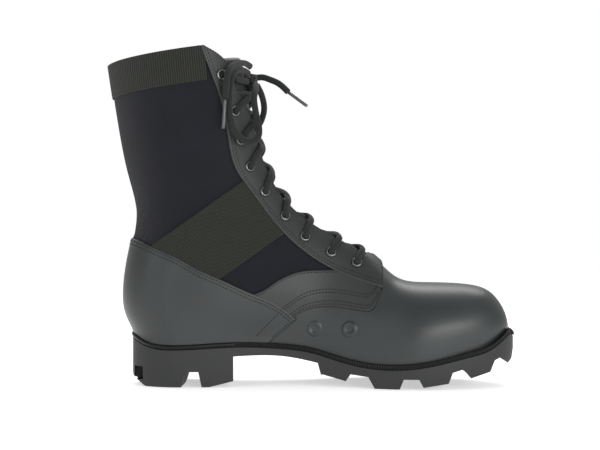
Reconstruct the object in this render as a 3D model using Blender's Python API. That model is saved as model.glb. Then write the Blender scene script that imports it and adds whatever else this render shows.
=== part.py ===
"""A left jungle boot with a ten inch shaft, as an assembly of separate pieces.

Frame: metres, +Z up, toe towards +X, lateral side towards +Y, standing on z = 0.
The upper is a loft of sections. Each section is a straight ruling in side view, from the ridge
of the foot down to the feather line of the sole, and above the heel to the line of the back.
"""
import bmesh
import bpy
import numpy as np

MM = 0.001

# Sole
SOLE_LENGTH = 304.5 * MM
BALL_WIDTH = 112 * MM
SOLE_HEIGHT = 33 * MM
LUG_DEPTH = 9.5 * MM
LUG_DRAFT = 2.2 * MM
SIDE_DRAFT = 0.8 * MM
HEEL_LENGTH = 80 * MM
HEEL_CHANNEL_DEPTH = 12 * MM
HEEL_BEVEL_LENGTH = 13.0 * MM
HEEL_BEVEL_HEIGHT = 8.5 * MM
HEEL_BREAST_BEVEL_LENGTH = 16.5 * MM
HEEL_BREAST_BEVEL_HEIGHT = 4.0 * MM
WAIST_HEIGHT = 23.7 * MM
LEDGE = 3.6 * MM
RIM_BAND = 3.0 * MM
RIM_EDGE = 0.8 * MM
RIM_GROOVE = 1.2 * MM
TUCK = 4.0 * MM
HEEL_ROUND = 34 * MM
TOE_ROUND = 85 * MM
TOE_FULLNESS = 2.3

# Upper
UPPER_HEIGHT = 237.5 * MM
COLLAR_DROP = 17.0 * MM
WALL = 2.4 * MM
INSOLE_THICKNESS = 4.0 * MM
TONGUE_THICKNESS = 2.6 * MM

# Clearances: between pieces that touch, between pieces laid edge to edge, under the eyelets, and
# of the loose tongue and the vents
GAP = 0.3 * MM
SEAM_GAP = 0.6 * MM
LOOSE_GAP = 0.7 * MM
TONGUE_GAP = 1.2 * MM
VENT_GAP = 0.9 * MM

# Points of a sheet closer than this to a cut are taken to lie on it
SNAP = 0.15 * MM

# Cutters start this far under the ground
BELOW = -5 * MM

# Share of the sole's length that lies behind the origin
ORIGIN_SHARE = 0.47

SIDES = {"medial": -1.0, "lateral": 1.0}


class Chart:
    """Rows of named columns, read as smooth curves over the first column."""

    def __init__(self, columns, *rows):
        self.columns = dict(zip(columns, np.array(rows, float).T))
        self.knots = self.columns[columns[0]]
        self.bends = {name: self.bend(values) for name, values in self.columns.items()}

    def bend(self, values):
        """Second derivatives, at the rows, of the natural cubic spline through them."""
        count = len(values)
        step = np.diff(self.knots)
        rise = np.diff(values) / step
        matrix = np.eye(count)
        right = np.zeros(count)
        for row in range(1, count - 1):
            matrix[row, row - 1:row + 2] = step[row - 1], 2 * (step[row - 1] + step[row]), step[row]
            right[row] = 6 * (rise[row] - rise[row - 1])
        return np.linalg.solve(matrix, right)

    def read(self, column, at):
        """The smooth curve through a column."""
        at = np.clip(np.asarray(at, float), self.knots[0], self.knots[-1])
        row = np.clip(np.searchsorted(self.knots, at, side="right") - 1, 0, len(self.knots) - 2)
        step = self.knots[row + 1] - self.knots[row]
        near = (self.knots[row + 1] - at) / step
        far = 1 - near
        values = self.columns[column]
        bends = self.bends[column]
        curved = (near ** 3 - near) * bends[row] + (far ** 3 - far) * bends[row + 1]
        return near * values[row] + far * values[row + 1] + curved * step ** 2 / 6

    def line(self, column, at):
        """The straight runs through a column."""
        return np.interp(at, self.knots, self.columns[column])


# Sole edge from above: share of the sole's length from the heel, and shares of the ball width
PLAN = Chart(
    ("along", "centre", "medial", "lateral"),
    (0.00, 0.000, 0.335, 0.335),
    (0.12, 0.000, 0.340, 0.342),
    (0.24, 0.002, 0.318, 0.342),
    (0.36, 0.014, 0.285, 0.338),
    (0.47, 0.030, 0.305, 0.345),
    (0.57, 0.034, 0.395, 0.402),
    (0.66, 0.022, 0.475, 0.467),
    (0.74, 0.002, 0.500, 0.480),
    (0.84, -0.030, 0.470, 0.455),
    (1.00, -0.070, 0.420, 0.410),
)

# Top edge of the sole, the feather line: shares of the sole's length and of the sole's height
FEATHER = Chart(
    ("along", "height"),
    (0.000, 1.27),
    (0.050, 1.07),
    (0.115, 1.00),
    (0.270, 1.06),
    (0.400, 1.01),
    (0.470, 0.92),
    (0.550, 0.71),
    (0.650, 0.567),
    (0.760, 0.64),
    (0.870, 0.862),
    (0.950, 1.09),
    (1.000, 1.38),
)

# Underside of the lugs: shares of the sole's length and of the sole's height
TREAD = Chart(
    ("along", "height"),
    (0.000, 0.000),
    (0.300, 0.000),
    (0.500, 0.290),
    (0.560, 0.145),
    (0.620, -0.010),
    (0.700, -0.010),
    (0.755, 0.048),
    (0.816, 0.133),
    (0.877, 0.250),
    (0.927, 0.380),
    (0.983, 0.500),
    (1.000, 0.640),
)

# Channels across the forefoot: their mouth at the ground and their roof, in shares of the length
CHANNELS = Chart(
    ("mouth_back", "mouth_front", "roof_back", "roof_front"),
    (0.558, 0.630, 0.570, 0.612),
    (0.692, 0.754, 0.701, 0.740),
    (0.816, 0.877, 0.824, 0.851),
    (0.927, 0.983, 0.935, 0.952),
)
CHANNEL_SWEEP = 0.028

# Roof of the space between heel and forefoot: shares of the sole's length and of the waist's
# height, and the foot of its front in shares of the length
ARCH_ROOF = ((0.400, 1.00), (0.487, 0.79))
ARCH_FRONT = 0.504
HEEL_CHANNEL = {"mouth_back": 0.138, "mouth_front": 0.193, "roof_back": 0.148, "roof_front": 0.184}

# Line of the back: share of the upper's height, share of the sole's length, and how far the back
# rounds over, in ball widths
BACK = Chart(
    ("up", "along", "round"),
    (0.000, 0.011, 0.304),
    (0.030, 0.011, 0.304),
    (0.088, -0.008, 0.310),
    (0.174, -0.017, 0.330),
    (0.292, -0.005, 0.360),
    (0.444, 0.012, 0.400),
    (0.579, -0.011, 0.430),
    (0.714, -0.033, 0.440),
    (0.934, -0.060, 0.450),
)

# Sections of the upper. Ridge: shares of the sole's length and of the upper's height, and its
# sideways place in ball widths. End: 0 at the toe to 1 at the heel, along the feather line, and
# 2 at the top of the back. Medial and lateral: fullness against the half width at the feather
# line. Round: share of the section that rounds over at the ridge. Dome: squareness of that round.
SECTIONS = Chart(
    ("section", "ridge_x", "ridge_z", "ridge_y", "end", "medial", "lateral", "round", "dome"),
    (0, 0.985, 0.053, -0.067, 0.000, 1.00, 1.00, 1.00, 2.60),
    (1, 0.978, 0.097, -0.067, 0.025, 1.00, 1.00, 1.00, 2.60),
    (2, 0.960, 0.141, -0.065, 0.059, 1.01, 1.01, 1.00, 2.60),
    (3, 0.921, 0.183, -0.061, 0.106, 1.02, 1.02, 1.00, 2.60),
    (4, 0.849, 0.199, -0.055, 0.170, 1.03, 1.03, 1.00, 2.60),
    (5, 0.771, 0.202, -0.047, 0.240, 1.03, 1.03, 1.00, 2.50),
    (6, 0.699, 0.217, -0.040, 0.320, 1.02, 1.02, 1.00, 2.30),
    (7, 0.640, 0.280, -0.032, 0.408, 1.04, 1.01, 1.00, 2.10),
    (8, 0.581, 0.330, -0.022, 0.508, 1.14, 1.02, 1.00, 1.95),
    (9, 0.512, 0.381, -0.014, 0.650, 1.24, 1.08, 0.95, 1.90),
    (10, 0.447, 0.443, -0.007, 0.810, 1.13, 1.10, 0.80, 1.90),
    (11, 0.398, 0.512, -0.002, 0.938, 1.09, 1.10, 0.65, 1.95),
    (12, 0.365, 0.585, 0.000, 1.000, 1.08, 1.08, 0.55, 2.00),
    (13, 0.342, 0.661, 0.000, 1.180, 1.08, 1.08, 0.50, 2.00),
    (14, 0.329, 0.733, 0.000, 1.358, 1.12, 1.12, 0.48, 2.00),
    (15, 0.317, 0.817, 0.000, 1.546, 1.22, 1.22, 0.48, 2.00),
    (16, 0.306, 0.909, 0.000, 1.765, 1.32, 1.32, 0.48, 2.00),
    (17, 0.292, 1.000, 0.000, 2.000, 1.38, 1.38, 0.48, 2.00),
)
HEEL_SECTION = 12.0
TOP_SECTION = 17.0

# Edge of the throat: the share of each section that is open beside the ridge
THROAT = Chart(
    ("section", "share"),
    (7.15, 0.000),
    (7.35, 0.022),
    (8.00, 0.040),
    (10.0, 0.040),
    (12.0, 0.030),
    (14.0, 0.040),
    (15.0, 0.070),
    (16.0, 0.130),
    (16.6, 0.170),
    (17.0, 0.280),
)
THROAT_FOOT = float(THROAT.knots[0])

# Tongue: its first and last section, and its half width as a share of the shaft's
TONGUE_FOOT = 6.6
TONGUE_TOP = 16.55
TONGUE_REACH = 0.45

# Thickness of the panels laid on the upper
FACING = 2.0 * MM
QUARTER = 1.8 * MM
SADDLE = 1.5 * MM
WEBBING = 1.3 * MM

# Webbing: width of the collar band, and width, slope and one centre point of the ankle strap
BAND_WIDTH = 27.0 * MM
STRAP_WIDTH = 52.3 * MM
STRAP_SLOPE = np.radians(35.5)
STRAP_POINT = {"along": 0.264, "up": 0.3757}

# Rear edge of the eyestay: shares of the upper's height and of the sole's length
EYESTAY_EDGE = Chart(
    ("up", "along"),
    (0.150, 0.760),
    (0.191, 0.634),
    (0.234, 0.542),
    (0.298, 0.457),
    (0.388, 0.382),
    (0.496, 0.318),
    (0.568, 0.278),
    (0.669, 0.256),
    (0.798, 0.238),
    (0.883, 0.214),
    (1.000, 0.180),
)
EYESTAY_FRONT = 0.652

# Top edge of the heel quarter, and its front edge: shares of the length and of the height
QUARTER_EDGE = Chart(
    ("along", "up"),
    (-0.05, 0.352),
    (0.006, 0.349),
    (0.071, 0.320),
    (0.130, 0.286),
    (0.177, 0.253),
    (0.242, 0.215),
    (0.314, 0.173),
    (0.381, 0.135),
    (0.428, 0.090),
    (0.500, 0.000),
)
QUARTER_FRONT = {"along": 0.361, "slant": 0.80}

# Edges of the saddle beside the instep: share of the length, and shares of the height
SADDLE_EDGES = Chart(
    ("along", "low", "top"),
    (0.320, 0.010, 0.166),
    (0.351, 0.030, 0.183),
    (0.379, 0.050, 0.207),
    (0.412, 0.077, 0.229),
    (0.443, 0.104, 0.241),
    (0.484, 0.121, 0.245),
    (0.527, 0.124, 0.245),
    (0.567, 0.119, 0.245),
    (0.605, 0.111, 0.245),
    (0.628, 0.120, 0.245),
    (0.650, 0.175, 0.245),
)

# Eyelets from the top pair down: section, and share of the section from the ridge
EYELETS = Chart(
    ("pair", "section", "share"),
    (1, 16.12, 0.198),
    (2, 14.96, 0.152),
    (3, 13.94, 0.140),
    (4, 12.72, 0.108),
    (5, 11.56, 0.092),
    (6, 10.34, 0.098),
    (7, 9.46, 0.124),
    (8, 8.58, 0.140),
    (9, 7.70, 0.120),
)
EYELET_RADIUS = 4.6 * MM
EYELET_BORE = 2.6 * MM
EYELET_HEIGHT = 1.1 * MM
EYELET_FACETS = 8

# Two painted vent eyelets at the arch, medial side: section, and share from the ridge
VENTS = ((8.24, 0.826), (7.42, 0.732))
VENT_RADIUS = 4.6 * MM

# Lace, and the knot's half sizes
LACE_RADIUS = 2.2 * MM
TIP_RADIUS = 1.2 * MM
KNOT = (4.0 * MM, 6.0 * MM, 6.4 * MM)

# Places of the knot and of the free laces, in millimetres, chosen by hand
KNOT_PLACE = (-48.0, 0.0, 243.0)
ROUTES = {
    "lace_loop_medial": (
        (-49.5, -9.0, 247.0), (-53.5, -19.5, 248.5), (-58.5, -31.0, 246.5), (-62.3, -38.3, 238.0),
        (-63.3, -40.0, 225.0), (-63.0, -40.0, 212.0), (-60.0, -39.5, 201.0), (-54.0, -38.5, 193.5),
        (-47.0, -36.0, 191.0), (-42.0, -33.0, 194.0), (-40.5, -30.0, 201.0), (-42.0, -30.0, 209.0),
        (-43.5, -30.5, 216.5), (-44.5, -30.5, 224.5), (-43.5, -23.5, 233.0), (-44.5, -9.5, 239.0),
    ),
    "lace_loop_lateral": (
        (-49.5, 9.0, 247.0), (-52.5, 18.0, 248.5), (-57.0, 29.6, 246.5), (-61.0, 37.6, 239.0),
        (-63.0, 40.5, 228.0), (-61.8, 40.5, 217.0), (-57.5, 40.0, 207.5), (-51.0, 37.0, 204.0),
        (-44.5, 33.0, 206.5), (-39.8, 28.0, 213.6), (-38.0, 24.0, 220.6), (-38.7, 19.0, 228.3),
        (-41.0, 14.0, 235.0), (-43.5, 9.8, 239.5),
    ),
    "lace_end_lateral": (
        (-43.2, 1.5, 244.8), (-38.2, 0.8, 244.9), (-34.2, -0.5, 243.6), (-26.1, -4.0, 239.8),
        (-18.1, -8.0, 232.4),
    ),
    "lace_end_medial": (
        (-48.0, -8.5, 252.5), (-52.0, -19.0, 254.0), (-58.5, -32.0, 252.0), (-64.0, -42.0, 245.5),
        (-65.5, -44.0, 235.0), (-66.4, -44.0, 224.5),
    ),
    "lace_top_medial": ((-50.4, -9.8, 240.5), (-53.1, -15.4, 240.5), (-59.6, -25.6, 241.5)),
    "lace_top_lateral": ((-50.4, 9.8, 240.5), (-53.1, 15.4, 240.5), (-59.6, 25.6, 241.5)),
}
TIPS = {
    "lace_tip_lateral": ((-17.5, -8.3, 231.9), (-3.1, -14.0, 220.8)),
    "lace_tip_medial": ((-66.5, -44.0, 223.9), (-67.9, -43.5, 201.0)),
}

# How far a crossed lace climbs towards the next pair, and the one under the knot
CROSSING_RISE = 0.80
KNOT_CROSSING_RISE = 0.35

# Shares of that climb at the throat's edge and over the ridge, and where a bar ends between the
# ridge and the far edge
EDGE_STOP = 0.35
RIDGE_STOP = 0.62
FAR_EDGE_SHARE = 0.25

# Share of a section that is taken as its ridge where a normal is wanted there
RIDGE_SHARE = 0.0005


def along(x):
    """Share of the sole's length at x."""
    return np.asarray(x, float) / SOLE_LENGTH + ORIGIN_SHARE


def place(share):
    """The x of a share of the sole's length."""
    return (np.asarray(share, float) - ORIGIN_SHARE) * SOLE_LENGTH


def level(share):
    """The z of a share of the upper's height."""
    return SOLE_HEIGHT + np.asarray(share, float) * UPPER_HEIGHT


def rounding(distance, reach, power=2.0):
    """Superellipse that rises from 0 at an end to 1 at its reach."""
    left = 1 - np.clip(np.asarray(distance, float) / reach, 0, 1)
    return (1 - left ** power) ** (1 / power)


def eased(value):
    """Smooth step from 0 to 1."""
    value = np.clip(value, 0, 1)
    return value ** 2 * (3 - 2 * value)


SOLE_TOE = float(place(1.0))
SOLE_HEEL = float(place(0.0))
UPPER_TOE = float(place(SECTIONS.columns["ridge_x"][0]))
UPPER_HEEL = float(place(BACK.columns["along"][0]))


def feather_height(x):
    """Height of the sole's top edge."""
    return FEATHER.read("height", along(x)) * SOLE_HEIGHT


def tread_height(x):
    """Height of the underside of the lugs."""
    return np.maximum(TREAD.line("height", along(x)) * SOLE_HEIGHT, 0)


def back_line(z):
    """The x of the back of the upper, and the distance over which the back rounds."""
    up = (np.asarray(z, float) - SOLE_HEIGHT) / UPPER_HEIGHT
    return place(BACK.read("along", up)), BACK.read("round", up) * BALL_WIDTH


def centre_line(x):
    """The y half way between the medial and lateral widths."""
    return PLAN.read("centre", along(x)) * BALL_WIDTH


def half_width(x, side, margin, toe):
    """Half width of a level of the sole or the upper, less a margin, closed at its toe only."""
    full = PLAN.read(side, along(x)) * BALL_WIDTH - margin
    return full * rounding(toe - x, TOE_ROUND, TOE_FULLNESS)


def section_end(end):
    """Low end of a section: along the feather line to the heel, then up the back."""
    x_feather = UPPER_TOE + (UPPER_HEEL - UPPER_TOE) * np.clip(end, 0, 1)
    heel_top = feather_height(UPPER_HEEL)
    collar_back = level(1.0) - COLLAR_DROP
    z_back = heel_top + (collar_back - heel_top) * np.clip(end - 1, 0, 1)
    on_feather = np.asarray(end) <= 1
    x = np.where(on_feather, x_feather, back_line(z_back)[0])
    return x, np.where(on_feather, feather_height(x_feather), z_back), x_feather


def upper_face(section, share, side):
    """Outer face of the upper, from the ridge (share 0) to the low end of a section (share 1)."""
    section, share = np.broadcast_arrays(np.asarray(section, float), np.asarray(share, float))
    end_x, end_z, feather_x = section_end(SECTIONS.read("end", section))
    x = place(SECTIONS.read("ridge_x", section)) * (1 - share) + end_x * share
    z = level(SECTIONS.read("ridge_z", section)) * (1 - share) + end_z * share
    ridge_y = SECTIONS.read("ridge_y", section) * BALL_WIDTH
    middle = ridge_y * (1 - share) + centre_line(feather_x) * share
    lift = eased((1 - share) * 2)
    lift = 1 - (1 - lift) * (1 - eased(section - HEEL_SECTION))
    fullness = 1 + (SECTIONS.read(side, section) - 1) * lift
    reach = np.minimum(SECTIONS.read("round", section), 1)
    left = 1 - np.clip(share / reach, 0, 1)
    over_ridge = np.sqrt(1 - left ** SECTIONS.read("dome", section))
    back_x, back_reach = back_line(z)
    half = half_width(feather_x, side, LEDGE, UPPER_TOE) * fullness
    half = half * over_ridge * rounding(x - back_x, back_reach)
    return np.stack([x, middle + SIDES[side] * half, z], axis=-1)


def throat_share(section):
    """Share of a section that the throat leaves open."""
    opened = np.clip(THROAT.read("share", section), 0, 1)
    return np.where(np.asarray(section) <= THROAT_FOOT, 0.0, opened)


def section_rows():
    """Sections at which the upper is meshed, closer at the toe, the throat's foot and the heel."""
    toe = 4 * np.linspace(0, 1, 8) ** 1.6
    forefoot = np.linspace(4, THROAT_FOOT, 6)
    instep = THROAT_FOOT + (10 - THROAT_FOOT) * np.linspace(0, 1, 6) ** 1.4
    heel = HEEL_SECTION - 2 * (1 - np.linspace(0, 1, 7)) ** 1.5
    shaft = np.linspace(HEEL_SECTION, TOP_SECTION, 11)
    return np.concatenate([toe[:-1], forefoot[:-1], instep[:-1], heel[:-1], shaft])


ROWS = section_rows()
HEEL_ROW = int(np.flatnonzero(ROWS == HEEL_SECTION)[0])
COLUMNS = 10


class Skin:
    """A sheet of triangles with a normal at each point."""

    def __init__(self, points, normals, faces):
        self.points = np.asarray(points)
        self.normals = np.asarray(normals)
        self.faces = faces

    def kept(self, field):
        """The part of the sheet on which a field of its points is positive."""
        values = field(self.points)
        values = np.where(np.abs(values) < SNAP, SNAP * 1e-3, values)
        points = list(self.points)
        normals = list(self.normals)
        crossings = {}

        def crossing(first, second):
            key = (min(first, second), max(first, second))
            if key not in crossings:
                share = values[key[0]] / (values[key[0]] - values[key[1]])
                point = self.points[key[0]] * (1 - share) + self.points[key[1]] * share
                normal = self.normals[key[0]] * (1 - share) + self.normals[key[1]] * share
                crossings[key] = len(points)
                points.append(point)
                normals.append(normal / np.linalg.norm(normal))
            return crossings[key]

        faces = []
        for face in self.faces:
            kept = []
            for first, second in zip(face, face[1:] + face[:1]):
                if values[first] > 0:
                    kept.append(first)
                if (values[first] > 0) != (values[second] > 0):
                    kept.append(crossing(first, second))
            if len(kept) > 2:
                faces += [(kept[0], kept[i], kept[i + 1]) for i in range(1, len(kept) - 1)]
        return Skin(points, normals, faces)

    def thick(self, low, high):
        """Corners and faces of the sheet made solid between two offsets along its normals."""
        used = sorted({corner for face in self.faces for corner in face})
        number = {corner: place_in for place_in, corner in enumerate(used)}
        points = self.points[used]
        normals = self.normals[used]
        count = len(used)
        corners = np.concatenate([points + normals * high, points + normals * low])
        top = [tuple(number[corner] for corner in face) for face in self.faces]
        edges = {}
        for face in top:
            for edge in zip(face, face[1:] + face[:1]):
                edges[edge] = True
        rims = [edge for edge in edges if (edge[1], edge[0]) not in edges]
        faces = list(top)
        faces += [tuple(corner + count for corner in reversed(face)) for face in top]
        for first, second in rims:
            faces.append((second, first, first + count))
            faces.append((second, first + count, second + count))
        return corners, faces


def point_normals(points, faces):
    """Normals of the points, from the faces around them weighted by area."""
    corners = points[np.array(faces)]
    across = np.cross(corners[:, 1] - corners[:, 0], corners[:, 2] - corners[:, 0])
    normals = np.zeros_like(points)
    for corner in range(3):
        np.add.at(normals, np.array(faces)[:, corner], across)
    return normals / np.linalg.norm(normals, axis=1)[:, None]


def upper_skin():
    """Outer face of the upper as one sheet, open at the throat, the collar and underneath."""
    spread = (1 - np.cos(np.pi * np.arange(COLUMNS + 1) / COLUMNS)) / 2
    first_share = throat_share(ROWS)[:, None]
    shares = first_share + (1 - first_share) * spread
    points = []
    index = {}
    for side in SIDES:
        grid = upper_face(ROWS[:, None], shares, side)
        tucked = grid[:, -1:] - [0, 0, TUCK]
        grid = np.concatenate([grid, tucked], axis=1)
        index[side] = np.zeros((len(ROWS), COLUMNS + 2), int)
        for row, column in np.ndindex(len(ROWS), COLUMNS + 2):
            on_tip = row == 0
            on_ridge = column == 0 and ROWS[row] <= THROAT_FOOT
            on_back = column >= COLUMNS and row >= HEEL_ROW
            if side == "lateral" and (on_tip or on_ridge or on_back):
                index[side][row, column] = index["medial"][row, column]
            else:
                index[side][row, column] = len(points)
                points.append(grid[row, column])
    faces = []
    for side in SIDES:
        for row, column in np.ndindex(len(ROWS) - 1, COLUMNS + 1):
            if column == COLUMNS and row >= HEEL_ROW:
                continue
            corner = index[side]
            square = [corner[row, column], corner[row, column + 1],
                      corner[row + 1, column + 1], corner[row + 1, column]]
            if side == "medial":
                square.reverse()
            faces.append((square[0], square[1], square[2]))
            faces.append((square[0], square[2], square[3]))
    faces = [tuple(int(corner) for corner in face) for face in faces if len(set(face)) == 3]
    used = sorted({corner for face in faces for corner in face})
    number = {corner: place_in for place_in, corner in enumerate(used)}
    points = np.array(points)[used]
    faces = [tuple(number[corner] for corner in face) for face in faces]
    return Skin(points, point_normals(points, faces), faces)


def new_object(name, cutter=False):
    """A new mesh object in the scene; a cutter stays out of the render."""
    thing = bpy.data.objects.new(name, bpy.data.meshes.new(name))
    bpy.context.scene.collection.objects.link(thing)
    thing.hide_render = cutter
    thing.display_type = "WIRE" if cutter else "TEXTURED"
    return thing


def finish(name):
    """Principled material of a named finish."""
    if name in bpy.data.materials:
        return bpy.data.materials[name]
    colour, roughness, metallic = FINISHES[name]
    material = bpy.data.materials.new(name)
    material.use_nodes = True
    shader = material.node_tree.nodes["Principled BSDF"]
    shader.inputs["Base Color"].default_value = (*colour, 1)
    shader.inputs["Roughness"].default_value = roughness
    shader.inputs["Metallic"].default_value = metallic
    return material


# Colour, roughness and metallic value of each finish
FINISHES = {
    "rubber": ((0.018, 0.019, 0.019), 0.55, 0.0),
    "leather": ((0.030, 0.033, 0.033), 0.38, 0.0),
    "facing": ((0.034, 0.037, 0.036), 0.42, 0.0),
    "canvas": ((0.016, 0.017, 0.024), 0.90, 0.0),
    "webbing": ((0.020, 0.021, 0.016), 0.80, 0.0),
    "foam": ((0.030, 0.030, 0.030), 0.90, 0.0),
    "black_metal": ((0.010, 0.010, 0.010), 0.35, 0.8),
    "cord": ((0.020, 0.024, 0.021), 0.75, 0.0),
    "tip": ((0.300, 0.320, 0.310), 0.35, 0.0),
}
SMOOTH_ANGLE = np.radians(40)


def solid(name, corners, faces, finish_name=None):
    """A closed body as one object, its faces turned outwards; without a finish it is a cutter."""
    thing = new_object(name, cutter=finish_name is None)
    shape = bmesh.new()
    corners = [shape.verts.new(corner) for corner in corners]
    for face in faces:
        shape.faces.new([corners[corner] for corner in face])
    bmesh.ops.recalc_face_normals(shape, faces=shape.faces)
    shape.to_mesh(thing.data)
    shape.free()
    if finish_name:
        thing.data.materials.append(finish(finish_name))
        thing.data.shade_smooth()
        thing.data.set_sharp_from_angle(angle=SMOOTH_ANGLE)
    return thing


def stack(rings, close_low, close_high):
    """Faces that join rings of equal count; the ends close with strips from side to side."""
    count = len(rings[0])
    corners = np.concatenate(rings)
    faces = []
    for ring in range(len(rings) - 1):
        for corner in range(count):
            ahead = (corner + 1) % count
            low, high = ring * count, (ring + 1) * count
            faces.append((low + corner, low + ahead, high + ahead, high + corner))
    for start, wanted in ((0, close_low), ((len(rings) - 1) * count, close_high)):
        if wanted:
            faces += [tuple(start + corner for corner in face) for face in strips(count)]
    return corners, faces


def strips(count):
    """Faces across a ring that starts at the toe, has its heel half way, and mirrors its places."""
    half = count // 2
    faces = [(0, 1, count - 1)]
    for step in range(1, half - 1):
        faces.append((step, step + 1, count - step - 1))
        faces.append((step, count - step - 1, count - step))
    faces.append((half - 1, half, half + 1))
    return faces


def ring_of(medial, lateral):
    """One ring from the toe down the medial side to the heel and back up the lateral side."""
    return np.concatenate([medial, lateral[-2:0:-1]])


def feather_ring(outset, height_of):
    """Ring beside the upper's feather line, set out from it, at the height of a function of x."""
    halves = {}
    for side in SIDES:
        edge = upper_face(ROWS[:HEEL_ROW + 1], 1.0, side)
        lead = np.gradient(edge[:, :2], axis=0)
        lead[0] = [0, SIDES[side]]
        lead[-1] = [0, -SIDES[side]]
        out = np.stack([lead[:, 1], -lead[:, 0]], axis=1) * SIDES[side]
        out /= np.linalg.norm(out, axis=1)[:, None]
        halves[side] = edge.copy()
        halves[side][:, :2] += out * outset
        halves[side][:, 2] = height_of(edge[:, 0])
    return ring_of(halves["medial"], halves["lateral"])


def sole_ring(margin, height_of):
    """Ring of the sole's outer edge, drawn in by a margin, at the height of a function of x."""
    feather_x = upper_face(ROWS[:HEEL_ROW + 1], 1.0, "medial")[:, 0]
    share = (UPPER_TOE - feather_x) / (UPPER_TOE - UPPER_HEEL)
    toe, heel = SOLE_TOE - margin, SOLE_HEEL + margin
    x = toe + (heel - toe) * share
    halves = {}
    for side in SIDES:
        half = half_width(x, side, margin, toe) * rounding(x - heel, HEEL_ROUND + LEDGE)
        halves[side] = np.stack([x, centre_line(x) + SIDES[side] * half, height_of(x)], axis=-1)
    return ring_of(halves["medial"], halves["lateral"])


def below_rim(depth):
    """Height function: a depth under the top edge of the sole."""
    return lambda x: feather_height(x) - depth


def across(name, outline):
    """Cutter across the sole, of an outline in side view."""
    reach = BALL_WIDTH
    near = [(x, -reach, z) for x, z in outline]
    far = [(x, reach, z) for x, z in outline]
    count = len(outline)
    faces = [tuple(range(count)), tuple(range(2 * count - 1, count - 1, -1))]
    faces += [(i, (i + 1) % count, (i + 1) % count + count, i + count) for i in range(count)]
    return solid(name, near + far, faces)


def channel(name, places, roof, sweep):
    """Cutter of a channel with drafted walls that runs forward by a sweep to the centre line."""
    mouth_back, mouth_front, roof_back, roof_front = (float(place(share)) for share in places)
    corners = []
    for y in (-BALL_WIDTH, 0.0, BALL_WIDTH):
        ahead = sweep * SOLE_LENGTH * (1 - 2 * abs(y) / BALL_WIDTH)
        corners += [(mouth_back + ahead, y, BELOW), (mouth_front + ahead, y, BELOW),
                    (roof_front + ahead, y, roof), (roof_back + ahead, y, roof)]
    faces = [(0, 1, 2, 3), (11, 10, 9, 8)]
    for start in (0, 4):
        faces += [(start + i, start + (i + 1) % 4, start + 4 + (i + 1) % 4, start + 4 + i)
                  for i in range(4)]
    return solid(name, corners, faces)


def corner_bevel(name, corner, length, height):
    """Cutter of a bevel under the sole, from a height at a corner to the ground a length on."""
    beyond_corner, slope = corner - length, height / length
    run_out = corner + length - BELOW / slope
    return across(name, [(beyond_corner, BELOW), (beyond_corner, height * 2), (run_out, BELOW)])


def cut(thing, cutters):
    """Take cutters away from an object, exactly."""
    for cutter in cutters:
        taken = thing.modifiers.new(cutter.name, "BOOLEAN")
        taken.operation = "DIFFERENCE"
        taken.solver = "EXACT"
        taken.object = cutter


def outsole():
    """Moulded sole: drafted lugs, side wall, groove, rim band, and the cup that holds the upper."""
    rings = [
        sole_ring(LUG_DRAFT, tread_height),
        sole_ring(SIDE_DRAFT, lambda x: tread_height(x) + LUG_DEPTH),
        sole_ring(SIDE_DRAFT, below_rim(RIM_BAND + RIM_GROOVE)),
        sole_ring(SIDE_DRAFT + RIM_GROOVE, below_rim(RIM_BAND + RIM_GROOVE / 2)),
        sole_ring(0, below_rim(RIM_BAND)),
        sole_ring(0, below_rim(RIM_EDGE)),
        sole_ring(RIM_EDGE, below_rim(0)),
        feather_ring(GAP, below_rim(0)),
        feather_ring(GAP, below_rim(TUCK + GAP)),
    ]
    sole = solid("outsole", *stack(rings, True, True), "rubber")
    heel_front = SOLE_HEEL + HEEL_LENGTH
    arch = across("arch_space", [
        (heel_front, BELOW), (heel_front, WAIST_HEIGHT),
        *((float(place(share)), height * WAIST_HEIGHT) for share, height in ARCH_ROOF),
        (float(place(ARCH_FRONT)), BELOW),
    ])
    cutters = [
        arch,
        corner_bevel("heel_bevel", SOLE_HEEL, HEEL_BEVEL_LENGTH, HEEL_BEVEL_HEIGHT),
        corner_bevel("breast_bevel", heel_front, -HEEL_BREAST_BEVEL_LENGTH, HEEL_BREAST_BEVEL_HEIGHT),
        channel("heel_channel", HEEL_CHANNEL.values(), HEEL_CHANNEL_DEPTH, 0),
    ]
    for number, places in enumerate(zip(*CHANNELS.columns.values()), 1):
        middle = float(place((places[2] + places[3]) / 2))
        roof = float(tread_height(middle)) + LUG_DEPTH
        cutters.append(channel(f"channel_{number}", places, roof, CHANNEL_SWEEP))
    cut(sole, cutters)


def insole():
    """Flat inner sole on the platform, inside the wall of the upper."""
    inset = -(WALL + GAP * 2)
    rings = [
        feather_ring(inset, below_rim(TUCK)),
        feather_ring(inset, below_rim(TUCK - INSOLE_THICKNESS)),
    ]
    solid("insole", *stack(rings, True, True), "foam")


def tongue():
    """Sheet behind the throat, from under the vamp to a rounded top above the collar's front."""
    sections = np.linspace(TONGUE_FOOT, TONGUE_TOP, 15)
    closing = rounding(TONGUE_TOP - sections + 0.12, 1.0)
    reach = np.linspace(-1, 1, 11)[None, :] * (TONGUE_REACH * closing)[:, None]
    grid = folded_face(sections[:, None], reach)
    rows, columns = reach.shape
    faces = []
    for row, column in np.ndindex(rows - 1, columns - 1):
        corner = row * columns + column
        faces.append((corner, corner + 1, corner + columns + 1))
        faces.append((corner, corner + columns + 1, corner + columns))
    points = grid.reshape(-1, 3)
    sheet = Skin(points, point_normals(points, faces), faces)
    outer = -(WALL + TONGUE_GAP)
    solid("tongue", *sheet.thick(outer - TONGUE_THICKNESS, outer), "facing")


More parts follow.
